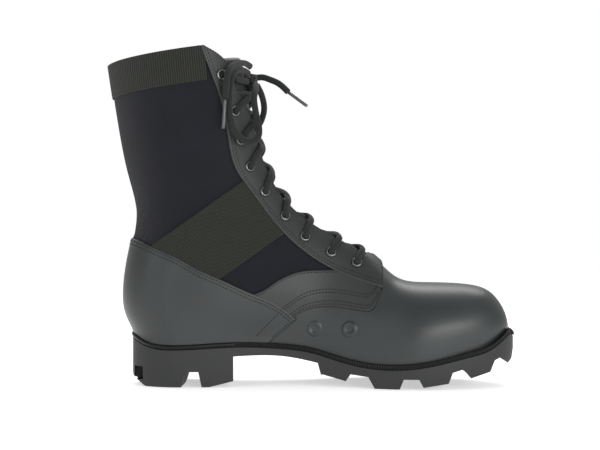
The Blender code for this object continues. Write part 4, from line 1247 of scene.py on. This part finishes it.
def turned(profile, centre, normal, facets=28):
    """Points and faces of a closed profile of radius and height turned about a seat's normal."""
    first = np.cross(normal, [0, 0, 1])
    first /= np.linalg.norm(first)
    second = np.cross(normal, first)
    turn = TURN * np.arange(facets) / facets
    around = np.outer(np.cos(turn), first) + np.outer(np.sin(turn), second)
    profile = np.asarray(profile)
    points = centre + around[None] * profile[:, None, :1] + normal * profile[:, None, 1:]
    return points.reshape(-1, 3), loop_faces(len(profile), facets)


def seat(section, share, side, offset):
    """Point at an offset over the upper's outer face, with the face's outward normal."""
    step = 0.01
    point, later, lower = (upper_face(section + ahead, share + down, side)
                           for ahead, down in ((0, 0), (step, 0), (0, step)))
    normal = np.cross(lower - point, later - point) * SIDES[side]
    normal /= np.linalg.norm(normal)
    return point + normal * offset, normal


# Eyelets: height of the domed flange, and the ring of painted glint on it, by its distance from the
# bore, its height and its radius
EYELET_DOME = 1.3 * MM
GLINT_RING = (0.75 * MM, 1.12 * MM, 0.36 * MM)

# Thin disc of painted shade over an eyelet's bore: how far past the bore it reaches, its under and upper
# side
SHADE_DISC_REACH = 0.4 * MM
SHADE_DISC_LEVELS = (0.02 * MM, 0.10 * MM)

# Radii and heights of a painted vent, in millimetres: flange, dish and bore
VENT_PROFILE = (
    (7.0, -0.3), (6.2, 0.15), (5.4, 0.75), (4.6, 0.95), (3.8, 0.75), (3.1, 0.30),
    (2.4, 0.25), (1.9, -0.6), (0.05, -0.8), (0.05, -1.2), (7.0, -1.2),
)


def eyelets(finishes):
    """Turned eyelets with a domed flange, a thin ring of painted glint, a disc of painted shade over the
    bore, and two painted vents.
    """
    turn = np.linspace(0, np.pi, 9)
    middle, half = (EYELET_RADIUS + EYELET_BORE) / 2, (EYELET_RADIUS - EYELET_BORE) / 2
    glint_out, glint_up, glint_radius = GLINT_RING
    low, high = SHADE_DISC_LEVELS
    rim, centre_radius = EYELET_BORE + SHADE_DISC_REACH, 0.02 * MM
    profiles = {
        "ring": ("enamel", np.stack([middle + half * np.cos(turn), EYELET_DOME * np.sin(turn)], axis=1)),
        # A thin ring of light metal at the bore's lip: painted glint.
        "glint_ring": ("glint_metal", np.stack([EYELET_BORE + glint_out + glint_radius * np.cos(2 * turn),
                                              glint_up + glint_radius * np.sin(2 * turn)], axis=1)[:-1]),
        # A matte disc in the lining's finish, laid over the hole as painted shade.
        "bore_shade_disc": ("lining", [(rim, high), (centre_radius, high), (centre_radius, low), (rim, low)]),
    }
    for pair, section, share in zip(*EYELETS.columns.values()):
        for side in SIDES:
            name = f"eyelet_{side}_{int(pair)}"
            centre, normal = seat(section, share, side, GAP + FACING)
            for part, (finish, profile) in profiles.items():
                points, faces = turned(profile, centre, normal)
                piece = mesh_piece(f"{name}_{part}", points, faces, finishes[finish], merge=0)
                settle(piece, "black_metal", *([name] if part == "ring" else []))
    for number, (section, share) in enumerate(VENTS, 1):
        centre, normal = seat(section, share, "medial", 0)
        points, faces = turned(np.array(VENT_PROFILE) * MM, centre, normal, 32)
        piece = mesh_piece(f"vent_{number}_ring", points, faces, finishes["leather"], merge=0)
        settle(piece, "leather", f"vent_{number}")


def edge_shares(count):
    """Shares from 0 to 1 that crowd at both ends, as half a turn of a cosine."""
    return (1 - np.cos(np.pi * np.linspace(0, 1, count))) / 2


def sole_ring(margin, height_of, shares):
    """Ring of the sole's outer edge, drawn in by a margin, at the height of a function of x."""
    toe, heel = SOLE_TOE - margin, SOLE_HEEL + margin
    x = toe + (heel - toe) * shares
    halves = []
    for side in SIDES:
        half = half_width(x, side, margin, toe) * rounding(x - heel, HEEL_ROUND + LEDGE)
        halves.append(np.stack([x, centre_line(x) + SIDES[side] * half, height_of(x)], axis=-1))
    return np.concatenate([halves[0], halves[1][-2:0:-1]])


def feather_ring(inset, height_of, shares):
    """Ring of the upper's feather line drawn in by an inset, at the height of a function of x."""
    x = UPPER_TOE - inset + (UPPER_HEEL - UPPER_TOE + 2 * inset) * shares
    halves = []
    for side in SIDES:
        back_x, back_reach = back_line(feather_height(x))
        half = half_width(x, side, LEDGE + inset, UPPER_TOE - inset)
        half = half * rounding(x - back_x - inset, back_reach)
        halves.append(np.stack([x, centre_line(x) + SIDES[side] * half, height_of(x)], axis=-1))
    return np.concatenate([halves[0], halves[1][-2:0:-1]])


# The sole's top edge at the toe: how fast it falls beyond the upper, and how far it rises from where
RIM_FALL = 0.75
TOE_RISE = 3.2 * MM
TOE_RISE_START = 132 * MM


def rim_height(x):
    """Height of the sole's top edge: the feather line's, raised at the toe and falling away beyond it."""
    raised = TOE_RISE * eased((x - TOE_RISE_START) / (UPPER_TOE - TOE_RISE_START))
    return feather_height(np.minimum(x, UPPER_TOE)) + raised - RIM_FALL * np.maximum(x - UPPER_TOE, 0)


def below_rim(depth):
    """Height function: a depth under the top edge of the sole."""
    return lambda x: rim_height(x) - depth


def above_tread(height):
    """Height function: a height over the underside of the lugs."""
    return lambda x: tread_height(x) + height


def ring_faces(rings, count):
    """Quads between rings, and strips from side to side over the first and the last."""
    faces = grid_faces(rings, count, closed=True)
    half = count // 2
    cap = [(0, 1, count - 1, count - 1)]
    step = np.arange(1, half - 1)
    cap += list(zip(step, step + 1, count - step - 1, count - step))
    cap += [(half - 1, half, half + 1, half + 1)]
    cap = [tuple(dict.fromkeys(int(c) for c in face)) for face in cap]
    last = (rings - 1) * count
    faces = [tuple(int(c) for c in face) for face in faces]
    return faces + cap + [tuple(c + last for c in face) for face in cap]


def block(name, corners, faces):
    """A cutter from corners and faces, which is removed once it has cut."""
    mesh = bpy.data.meshes.new(name)
    mesh.from_pydata(corners, [], faces)
    shape = bmesh.new()
    shape.from_mesh(mesh)
    bmesh.ops.recalc_face_normals(shape, faces=shape.faces)
    shape.to_mesh(mesh)
    shape.free()
    thing = bpy.data.objects.new(name, mesh)
    bpy.context.scene.collection.objects.link(thing)
    return thing


def across(name, outline, skew=0.0, skewed=0):
    """Cutter across the sole, of an outline in side view whose first points a skew moves with y."""
    count = len(outline)
    slants = [skew] * skewed + [0.0] * (count - skewed)
    corners = [(x + slant * y, y, z) for y in (-BALL_WIDTH, BALL_WIDTH)
               for (x, z), slant in zip(outline, slants)]
    faces = [tuple(range(count)), tuple(range(2 * count - 1, count - 1, -1))]
    faces += [(i, (i + 1) % count, (i + 1) % count + count, i + count) for i in range(count)]
    return block(name, corners, faces)


def corner_bevel(name, corner, length, height):
    """Cutter of a bevel under the sole, from a height at a corner to the ground a length on."""
    run_out = corner + length - BELOW * length / height
    return across(name, [(corner - length, BELOW), (corner - length, height * 2), (run_out, BELOW)])


# Channels across the tread in side view, in millimetres: mouth and roof at the back, roof and mouth
# in front; and how far they run forward to the centre line
CHANNEL_OUTLINES = (
    ((-102.0, 0.0), (-98.4, 12.0), (-88.3, 12.0), (-85.8, 0.0)),
    ((26.7, 5.4), (30.2, 10.6), (43.8, 9.0), (48.4, 0.7)),
    ((67.9, 0.0), (70.9, 7.8), (82.6, 7.8), (85.9, 1.9)),
    ((105.6, 4.7), (108.6, 13.0), (116.9, 15.4), (121.6, 9.8)),
    ((139.1, 13.7), (142.2, 21.5), (146.3, 23.3), (151.6, 19.8)),
)
CHANNEL_SWEEP = 1.5 * MM

# Notches at the rear of the heel: lowest and highest corner, in millimetres
HEEL_NOTCH = ((-139.5, 7.0, 5.0), (-132.0, 60.0, 15.5))

# Forward shift of the heel's front face for each metre across, and of the foot of the arch's front
BREAST_SKEW = -0.075
ARCH_FOOT = 1.2 * MM

# Bevel under the toe in side view, in millimetres
TOE_BEVEL = ((150.5, -5.0), (150.5, 15.4), (166.0, 27.6), (166.0, -5.0))

# Rounded foot of the lugs: draft over the lugs' own, and height over their underside
LUG_FOOT = ((0.9 * MM, 0.0), (0.2 * MM, 0.3 * MM), (-0.1 * MM, 1.0 * MM))

# Top of the sole: depths of its edge, how far it reaches under the upper, and its inner edge's depth
EDGE_TOP = 0.5 * MM
UNDER_UPPER = 0.4 * MM
INNER_TOP = 0.6 * MM

# Edges of the sole that bend more than this stay sharp
SHARP = np.radians(32)


def carried_down(mouth, roof):
    """Where the wall from a roof to a mouth, carried on, reaches the foot of the cutters."""
    return mouth + (roof - mouth) * (BELOW - mouth[1]) / (roof - mouth)[1]


def channel(name, outline):
    """Cutter of a channel with drafted walls that runs slightly forward to the centre line."""
    mouth_back, roof_back, roof_front, mouth_front = (np.array(point) * MM for point in outline)
    section = (carried_down(mouth_back, roof_back), carried_down(mouth_front, roof_front),
               roof_front, roof_back)
    corners = []
    for y in (-BALL_WIDTH, 0.0, BALL_WIDTH):
        ahead = CHANNEL_SWEEP * (1 - 2 * abs(y) / BALL_WIDTH)
        corners += [(x + ahead, y, z) for x, z in section]
    faces = [(0, 1, 2, 3), (11, 10, 9, 8)]
    for start in (0, 4):
        faces += [(start + i, start + (i + 1) % 4, start + 4 + (i + 1) % 4, start + 4 + i)
                  for i in range(4)]
    return block(name, corners, faces)


def outsole(finishes):
    """Moulded sole: fine rings from tread to ledge, with the arch, bevels and channels cut out."""
    shares = edge_shares(181)
    groove = SIDE_DRAFT + RIM_GROOVE
    rings = [sole_ring(LUG_DRAFT + draft, above_tread(height), shares) for draft, height in LUG_FOOT]
    rings += [
        sole_ring(SIDE_DRAFT, above_tread(LUG_DEPTH), shares),
        sole_ring(SIDE_DRAFT, below_rim(RIM_BAND + RIM_GROOVE), shares),
        sole_ring(groove, below_rim(RIM_BAND + RIM_GROOVE / 2), shares),
        sole_ring(groove, below_rim(RIM_BAND / 2), shares),
        sole_ring(groove, below_rim(EDGE_TOP), shares),
        feather_ring(UNDER_UPPER, below_rim(INNER_TOP), shares),
        feather_ring(UNDER_UPPER, below_rim(TUCK), shares),
    ]
    sole = mesh_piece("outsole_rubber", np.concatenate(rings), ring_faces(len(rings), len(rings[0])),
                      finishes["rubber"], merge=0.01 * MM)
    heel_front = SOLE_HEEL + HEEL_LENGTH
    roof = [(heel_front, WAIST_HEIGHT)]
    roof += [(float(place(share)), height * WAIST_HEIGHT) for share, height in ARCH_ROOF]
    roof = [tuple(point) for point in curve_through(roof, 24)]
    arch_foot = float(place(ARCH_FRONT)) + ARCH_FOOT
    cutters = [
        across("arch_space", [(heel_front, BELOW), *roof, (arch_foot, BELOW)], BREAST_SKEW, 2),
        across("toe_bevel", (np.array(TOE_BEVEL) * MM).tolist()),
        corner_bevel("heel_bevel", SOLE_HEEL, HEEL_BEVEL_LENGTH, HEEL_BEVEL_HEIGHT),
        corner_bevel("breast_bevel", heel_front, -HEEL_BREAST_BEVEL_LENGTH, HEEL_BREAST_BEVEL_HEIGHT),
    ]
    for number, outline in enumerate(CHANNEL_OUTLINES, 1):
        cutters.append(channel(f"channel_{number}", outline))
    for side, sign in SIDES.items():
        xs, ys, zs = (np.array(HEEL_NOTCH) * MM).T
        corners = [(x, sign * y, z) for x in xs for y in ys for z in zs]
        faces = [(0, 1, 3, 2), (4, 6, 7, 5), (0, 4, 5, 1), (2, 3, 7, 6), (0, 2, 6, 4), (1, 5, 7, 3)]
        cutters.append(block(f"heel_notch_{side}", corners, faces))
    for cutter in cutters:
        taken = sole.modifiers.new(cutter.name, "BOOLEAN")
        taken.operation = "DIFFERENCE"
        taken.solver = "EXACT"
        taken.object = cutter
    solid = bpy.data.meshes.new_from_object(sole.evaluated_get(bpy.context.evaluated_depsgraph_get()))
    sole.modifiers.clear()
    sole.data = solid
    sole.data.shade_smooth()
    sole.data.set_sharp_from_angle(angle=SHARP)
    for cutter in cutters:
        bpy.data.objects.remove(cutter)
    return settle(sole, "rubber", "outsole")


# Rim band: its outline by how far out of the sole's edge and over its top it lies, in millimetres,
# and how much of the ribs' depth it takes; and which of these points is its crest
RIM_PROFILE = (
    (-3.6, -3.3, 0), (-1.2, -3.4, 0), (-0.25, -3.1, 0.5), (0.10, -2.4, 1), (0.12, -1.5, 1),
    (-0.05, -0.7, 0.6), (-0.7, -0.1, 0), (-1.8, 0.15, 0), (-4.4, 0.10, 0),
)
RIM_CREST = 3

# Half the depth and the pitch of the rim's ribs, and where they start and over how much they begin,
# in shares of the length
RIM_RIB = 0.55 * MM
RIM_PITCH = 2.05 * MM
RIM_RIB_START = 0.27
RIM_RIB_FADE = 0.01
RIM_POINTS = 1101


def rim(finishes):
    """Glossy rim band round the sole, its bulge cut into ribs by a cosine wave of its length."""
    base = sole_ring(0, below_rim(0), edge_shares(RIM_POINTS))
    run = run_along(base[:RIM_POINTS, None], 0)[:, 0]
    even = np.linspace(0, run[-1], RIM_POINTS)
    shares = np.interp(even, run, edge_shares(RIM_POINTS))
    rings = [sole_ring(-out * MM, below_rim(-up * MM), shares) for out, up, _ in RIM_PROFILE]
    crest = rings[RIM_CREST]
    lead = np.roll(crest, -1, axis=0) - np.roll(crest, 1, axis=0)
    away = np.stack([lead[:, 1], -lead[:, 0], np.zeros(len(lead))], axis=1)
    away /= np.linalg.norm(away, axis=1)[:, None]
    away *= np.sign(np.sum(away[:, 1] * (crest[:, 1] - centre_line(crest[:, 0]))))
    lengths = np.concatenate([even, even[-2:0:-1]])
    fade = np.clip((along(crest[:, 0]) - RIM_RIB_START) / RIM_RIB_FADE, 0, 1)
    wave = (np.cos(TURN * lengths / RIM_PITCH) - 1) * RIM_RIB * fade
    rings = [ring + away * (wave * ribbed)[:, None] for ring, (_, _, ribbed) in zip(rings, RIM_PROFILE)]
    piece = mesh_piece("rim_band", np.concatenate(rings), loop_faces(len(rings), len(base)),
                       finishes["rim"], merge=0)
    return settle(piece, "rubber")


def cord_mesh(name, path, width, depth, material, twist=None):
    """A lace along a path: an ellipse square to it, its width along a vector, or level without one."""
    path = np.asarray(path, float)
    lead = np.gradient(path, axis=0)
    lead /= np.linalg.norm(lead, axis=1)[:, None]
    side = np.cross(lead, [0.0, 1.0, 0.0]) if twist is None else np.asarray(twist, float)
    side = np.broadcast_to(side, path.shape)
    beside = side - lead * np.sum(side * lead, axis=1)[:, None]
    beside /= np.maximum(np.linalg.norm(beside, axis=1), TINY)[:, None]
    facing = np.cross(lead, beside)
    facets = 16
    turn = TURN * np.arange(facets) / facets
    rings = (path[:, None] + beside[:, None] * (np.cos(turn) * width / 2)[None, :, None]
             + facing[:, None] * (np.sin(turn) * depth / 2)[None, :, None])
    count = len(path)
    faces = [tuple(face) for face in grid_faces(count, facets, closed=True)]
    faces += [tuple(range(facets))[::-1], tuple(range((count - 1) * facets, count * facets))]
    run = run_along(path[:, None], 0)[:, 0]
    uv = np.stack([np.repeat(run, facets), np.tile(turn * width / 4, count)], axis=1)
    return mesh_piece(name, rings.reshape(-1, 3), faces, material, merge=0, uv=uv)


# Crossings: how far one has climbed at the throat's edge, in shares of its rise, by pair; the further
# climb from there to the edge itself, the ridge and the far edge; and the rise from pair to pair
CROSSING_LEAN = ((6, 7, 8, 9), (0.26, 0.14, -0.06, -0.06))
CROSSING_CLIMB = (0.0, 0.16, 0.48)
CROSSING_RISE = 0.92
TOP_CROSSING_RISE = 0.42

# Depths of a crossing: in its eyelet, over the facing, under the far edge and behind the wall; and
# how far the two cords of a crossing pass over and under the ridge, in lace depths
CROSSING_SUNK = -1.5 * MM
CROSSING_LIFT = 0.5 * MM
CROSSING_UNDER = -0.6 * MM
CROSSING_BEHIND = -0.8 * MM
CROSSING_OVER = 0.42

# Which way the width of a crossing points, and its width in lace widths
CROSSING_SIDE = (0.75, 0.0, -0.66)
CROSSING_WIDTH = 1.06


def crossing_path(side, pair, over):
    """A threaded lace: up out of its eyelet, over the throat's edge and the ridge, under the far edge."""
    other = "lateral" if side == "medial" else "medial"
    section, share = (float(EYELETS.read(name, pair)) for name in ("section", "share"))
    above = float(EYELETS.read("section", pair - 1))
    rise = (above - section) * (CROSSING_RISE if pair > 2 else TOP_CROSSING_RISE)
    lean = float(np.interp(pair, *CROSSING_LEAN))
    edge_at, ridge_at, far_at = section + rise * np.add(lean, CROSSING_CLIMB)
    end_at = section + rise
    edge, far, end = (float(throat_share(at)) for at in (edge_at, far_at, end_at))
    on_face = GAP + FACING + LACE_DEPTH / 2
    stops = (
        (section, share, side, CROSSING_SUNK),
        (section, share, side, on_face * 0.9),
        (section + rise * lean * 0.4, share * 0.66 + edge * 0.34, side, on_face + CROSSING_LIFT),
        (edge_at, edge, side, on_face + CROSSING_LIFT),
        (ridge_at, 0.004, side, over + CROSSING_UNDER),
        (far_at, far * 0.7, other, CROSSING_UNDER),
        (end_at, end * 1.5, other, CROSSING_BEHIND - WALL),
    )
    return curve_through([seat(*stop)[0] for stop in stops], 60)


def threaded_laces(finishes):
    """Crossed laces from pair to pair, each two cords, one over the other."""
    for pair in range(len(EYELETS.knots), 1, -1):
        first = 1 if pair % 2 else -1
        for side, over in (("medial", first), ("lateral", -first)):
            path = crossing_path(side, pair, over * LACE_DEPTH * CROSSING_OVER)
            lace = cord_mesh(f"lace_{side}_{pair}", path, LACE_WIDTH * CROSSING_WIDTH, LACE_DEPTH,
                             finishes["lace"], twist=CROSSING_SIDE)
            settle(lace, "cord", f"lace_crossing_{pair}")


# Wraps of the knot: half depth and half width in millimetres, and tilt, size and drop of each
WRAP_RADII = (3.4, 4.6)
KNOT_WRAPS = ((0.35, 1.0, 1.6), (-0.35, 0.95, -1.6), (0.3, 0.85, -4.8), (0.1, 0.7, -7.6))
KNOT_AHEAD = 0.4

# Flat section of the tips, in tip radii, and which way the width of tips, top strands and knot points
TIP_SECTION = (2.3, 2.0)
TIP_SIDE = (1.0, 0.2, 0.0)
STRAND_SIDE = (0.0, 0.2, 1.0)
KNOT_SIDE = (0.5, 0.5, 0.7)
KNOT_WIDTH = 0.95


def free_laces(finishes):
    """Tips, bow loops and ends on their routes, each a cord of its own length, and the knot.

    The top strands are plain pieces whose width keeps one direction.
    """
    for name, ends in TIPS.items():
        start, end = np.array(ends) * MM
        path = start + (end - start) * np.linspace(0, 1, 12)[:, None]
        width, depth = np.array(TIP_SECTION) * TIP_RADIUS
        tip = cord_mesh(f"{name}_sheath", path, width, depth, finishes["tip"], twist=TIP_SIDE)
        settle(tip, "tip", name)
    for name, route in ROUTES.items():
        path = curve_through(np.array(route) * MM, 90)
        strand = "top" in name
        lace = cord_mesh(f"{name}_cord", path, LACE_WIDTH, LACE_DEPTH, finishes["lace"],
                         twist=STRAND_SIDE if strand else None)
        settle(lace, "cord", name)
        if strand:
            continue
        tip = name.replace("end", "tip")
    turn = np.linspace(0, TURN, 60)
    depth, width = WRAP_RADII
    wraps = [np.stack([np.cos(turn) * depth * size + KNOT_AHEAD,
                       np.sin(turn) * width * np.cos(tilt) * size,
                       np.sin(turn) * width * np.sin(tilt) * size + shift], axis=1)
             for tilt, size, shift in KNOT_WRAPS]
    path = smooth_run((np.concatenate(wraps) + KNOT_PLACE) * MM, 6)
    knot = cord_mesh("lace_knot_wraps", path, LACE_WIDTH * KNOT_WIDTH, LACE_DEPTH, finishes["lace"],
                     twist=KNOT_SIDE)
    settle(knot, "cord", "lace_knot")


def smooth_run(points, width):
    """A run of points evened by a moving mean."""
    kernel = np.ones(width) / width
    padded = np.concatenate([np.repeat(points[:1], width, 0), points, np.repeat(points[-1:], width, 0)])
    mean = np.stack([np.convolve(padded[:, axis], kernel, "same") for axis in range(3)], axis=1)
    return mean[width:-width]


# Floor: half its size, how far it lies under the sole, and its finish
FLOOR_REACH = 4.0
FLOOR_DROP = 0.3 * MM
PAPER = {
    "Base Color": (0.98, 0.98, 0.98, 1), "Roughness": 0.9, "Specular IOR Level": 0.1,
    "Emission Color": (1, 1, 1, 1), "Emission Strength": 0.52,
}

# How bright the white surroundings are to the boot and the floor
SURROUNDINGS = 0.5

# Soft lights: size, power, place and aim
LIGHTS = (
    ("front", (1.3, 0.6), 13.0, (0.75, -1.45, 0.42), (0.08, 0.0, 0.05)),
    ("side", (0.7, 0.7), 2.2, (-1.1, -1.0, 0.6), (0.0, 0.0, 0.10)),
    ("back", (1.4, 0.5), 9.0, (0.1, 0.9, 1.2), (0.0, 0.0, 0.10)),
)


def floor_and_world(scene):
    """Pale floor, and surroundings that are white to the camera and dimmer to the rest."""
    sheet = bpy.data.meshes.new("floor")
    corners = ((-1, -1), (1, -1), (1, 1), (-1, 1))
    sheet.from_pydata([(x * FLOOR_REACH, y * FLOOR_REACH, -FLOOR_DROP) for x, y in corners], [],
                      [(0, 1, 2, 3)])
    floor = bpy.data.objects.new("floor", sheet)
    scene.collection.objects.link(floor)
    paper = bpy.data.materials.new("paper")
    paper.use_nodes = True
    for name, value in PAPER.items():
        paper.node_tree.nodes["Principled BSDF"].inputs[name].default_value = value
    sheet.materials.append(paper)
    world = bpy.data.worlds.new("studio")
    scene.world = world
    world.use_nodes = True
    background = world.node_tree.nodes["Background"]
    background.inputs["Color"].default_value = (1, 1, 1, 1)
    nodes = Nodes(world.node_tree)
    strength = nodes.add("ShaderNodeMapRange")
    strength.inputs["To Min"].default_value = SURROUNDINGS
    strength.inputs["To Max"].default_value = 1.0
    nodes.join(nodes.add("ShaderNodeLightPath").outputs["Is Camera Ray"], strength.inputs["Value"])
    nodes.join(strength.outputs[0], background.inputs["Strength"])


def stage_and_light():
    """The floor and surroundings, soft lights, and the camera of the photograph."""
    scene = bpy.context.scene
    floor_and_world(scene)
    for name, size, power, where, aim in LIGHTS:
        lamp = bpy.data.lights.new(name, "AREA")
        lamp.shape = "RECTANGLE"
        lamp.size, lamp.size_y = size
        lamp.energy = power
        holder = bpy.data.objects.new(name, lamp)
        scene.collection.objects.link(holder)
        holder.location = where
        holder.rotation_euler = (Vector(aim) - Vector(where)).to_track_quat("-Z", "Y").to_euler()
    lens = bpy.data.cameras.new("camera")
    lens.sensor_width = SENSOR
    lens.lens = SENSOR * CAMERA_AWAY / (PICTURE_WIDTH * PICTURE_STEP)
    camera = bpy.data.objects.new("camera", lens)
    scene.collection.objects.link(camera)
    camera.location = (CAMERA_X, -CAMERA_AWAY, CAMERA_Z)
    camera.rotation_euler = (TURN / 4, 0, 0)
    scene.camera = camera
    scene.view_settings.view_transform = "Standard"


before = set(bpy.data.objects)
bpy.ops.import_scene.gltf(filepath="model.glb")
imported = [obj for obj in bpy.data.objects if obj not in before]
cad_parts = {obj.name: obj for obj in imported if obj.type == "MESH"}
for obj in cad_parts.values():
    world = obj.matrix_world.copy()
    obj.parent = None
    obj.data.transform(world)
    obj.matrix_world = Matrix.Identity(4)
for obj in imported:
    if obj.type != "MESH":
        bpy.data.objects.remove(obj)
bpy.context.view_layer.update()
stage_and_light()
effects()
finishes = materials()
upper_shell(finishes)
outsole(finishes)
rim(finishes)
tongue(finishes)
eyestays(finishes)
quarter(finishes)
saddles(finishes)
webbings(finishes)
collar_band(finishes)
eyelets(finishes)
stitches(finishes["thread"])
threaded_laces(finishes)
free_laces(finishes)
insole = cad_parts["insole"]
insole.data.materials.clear()
insole.data.materials.append(finishes["lining"])
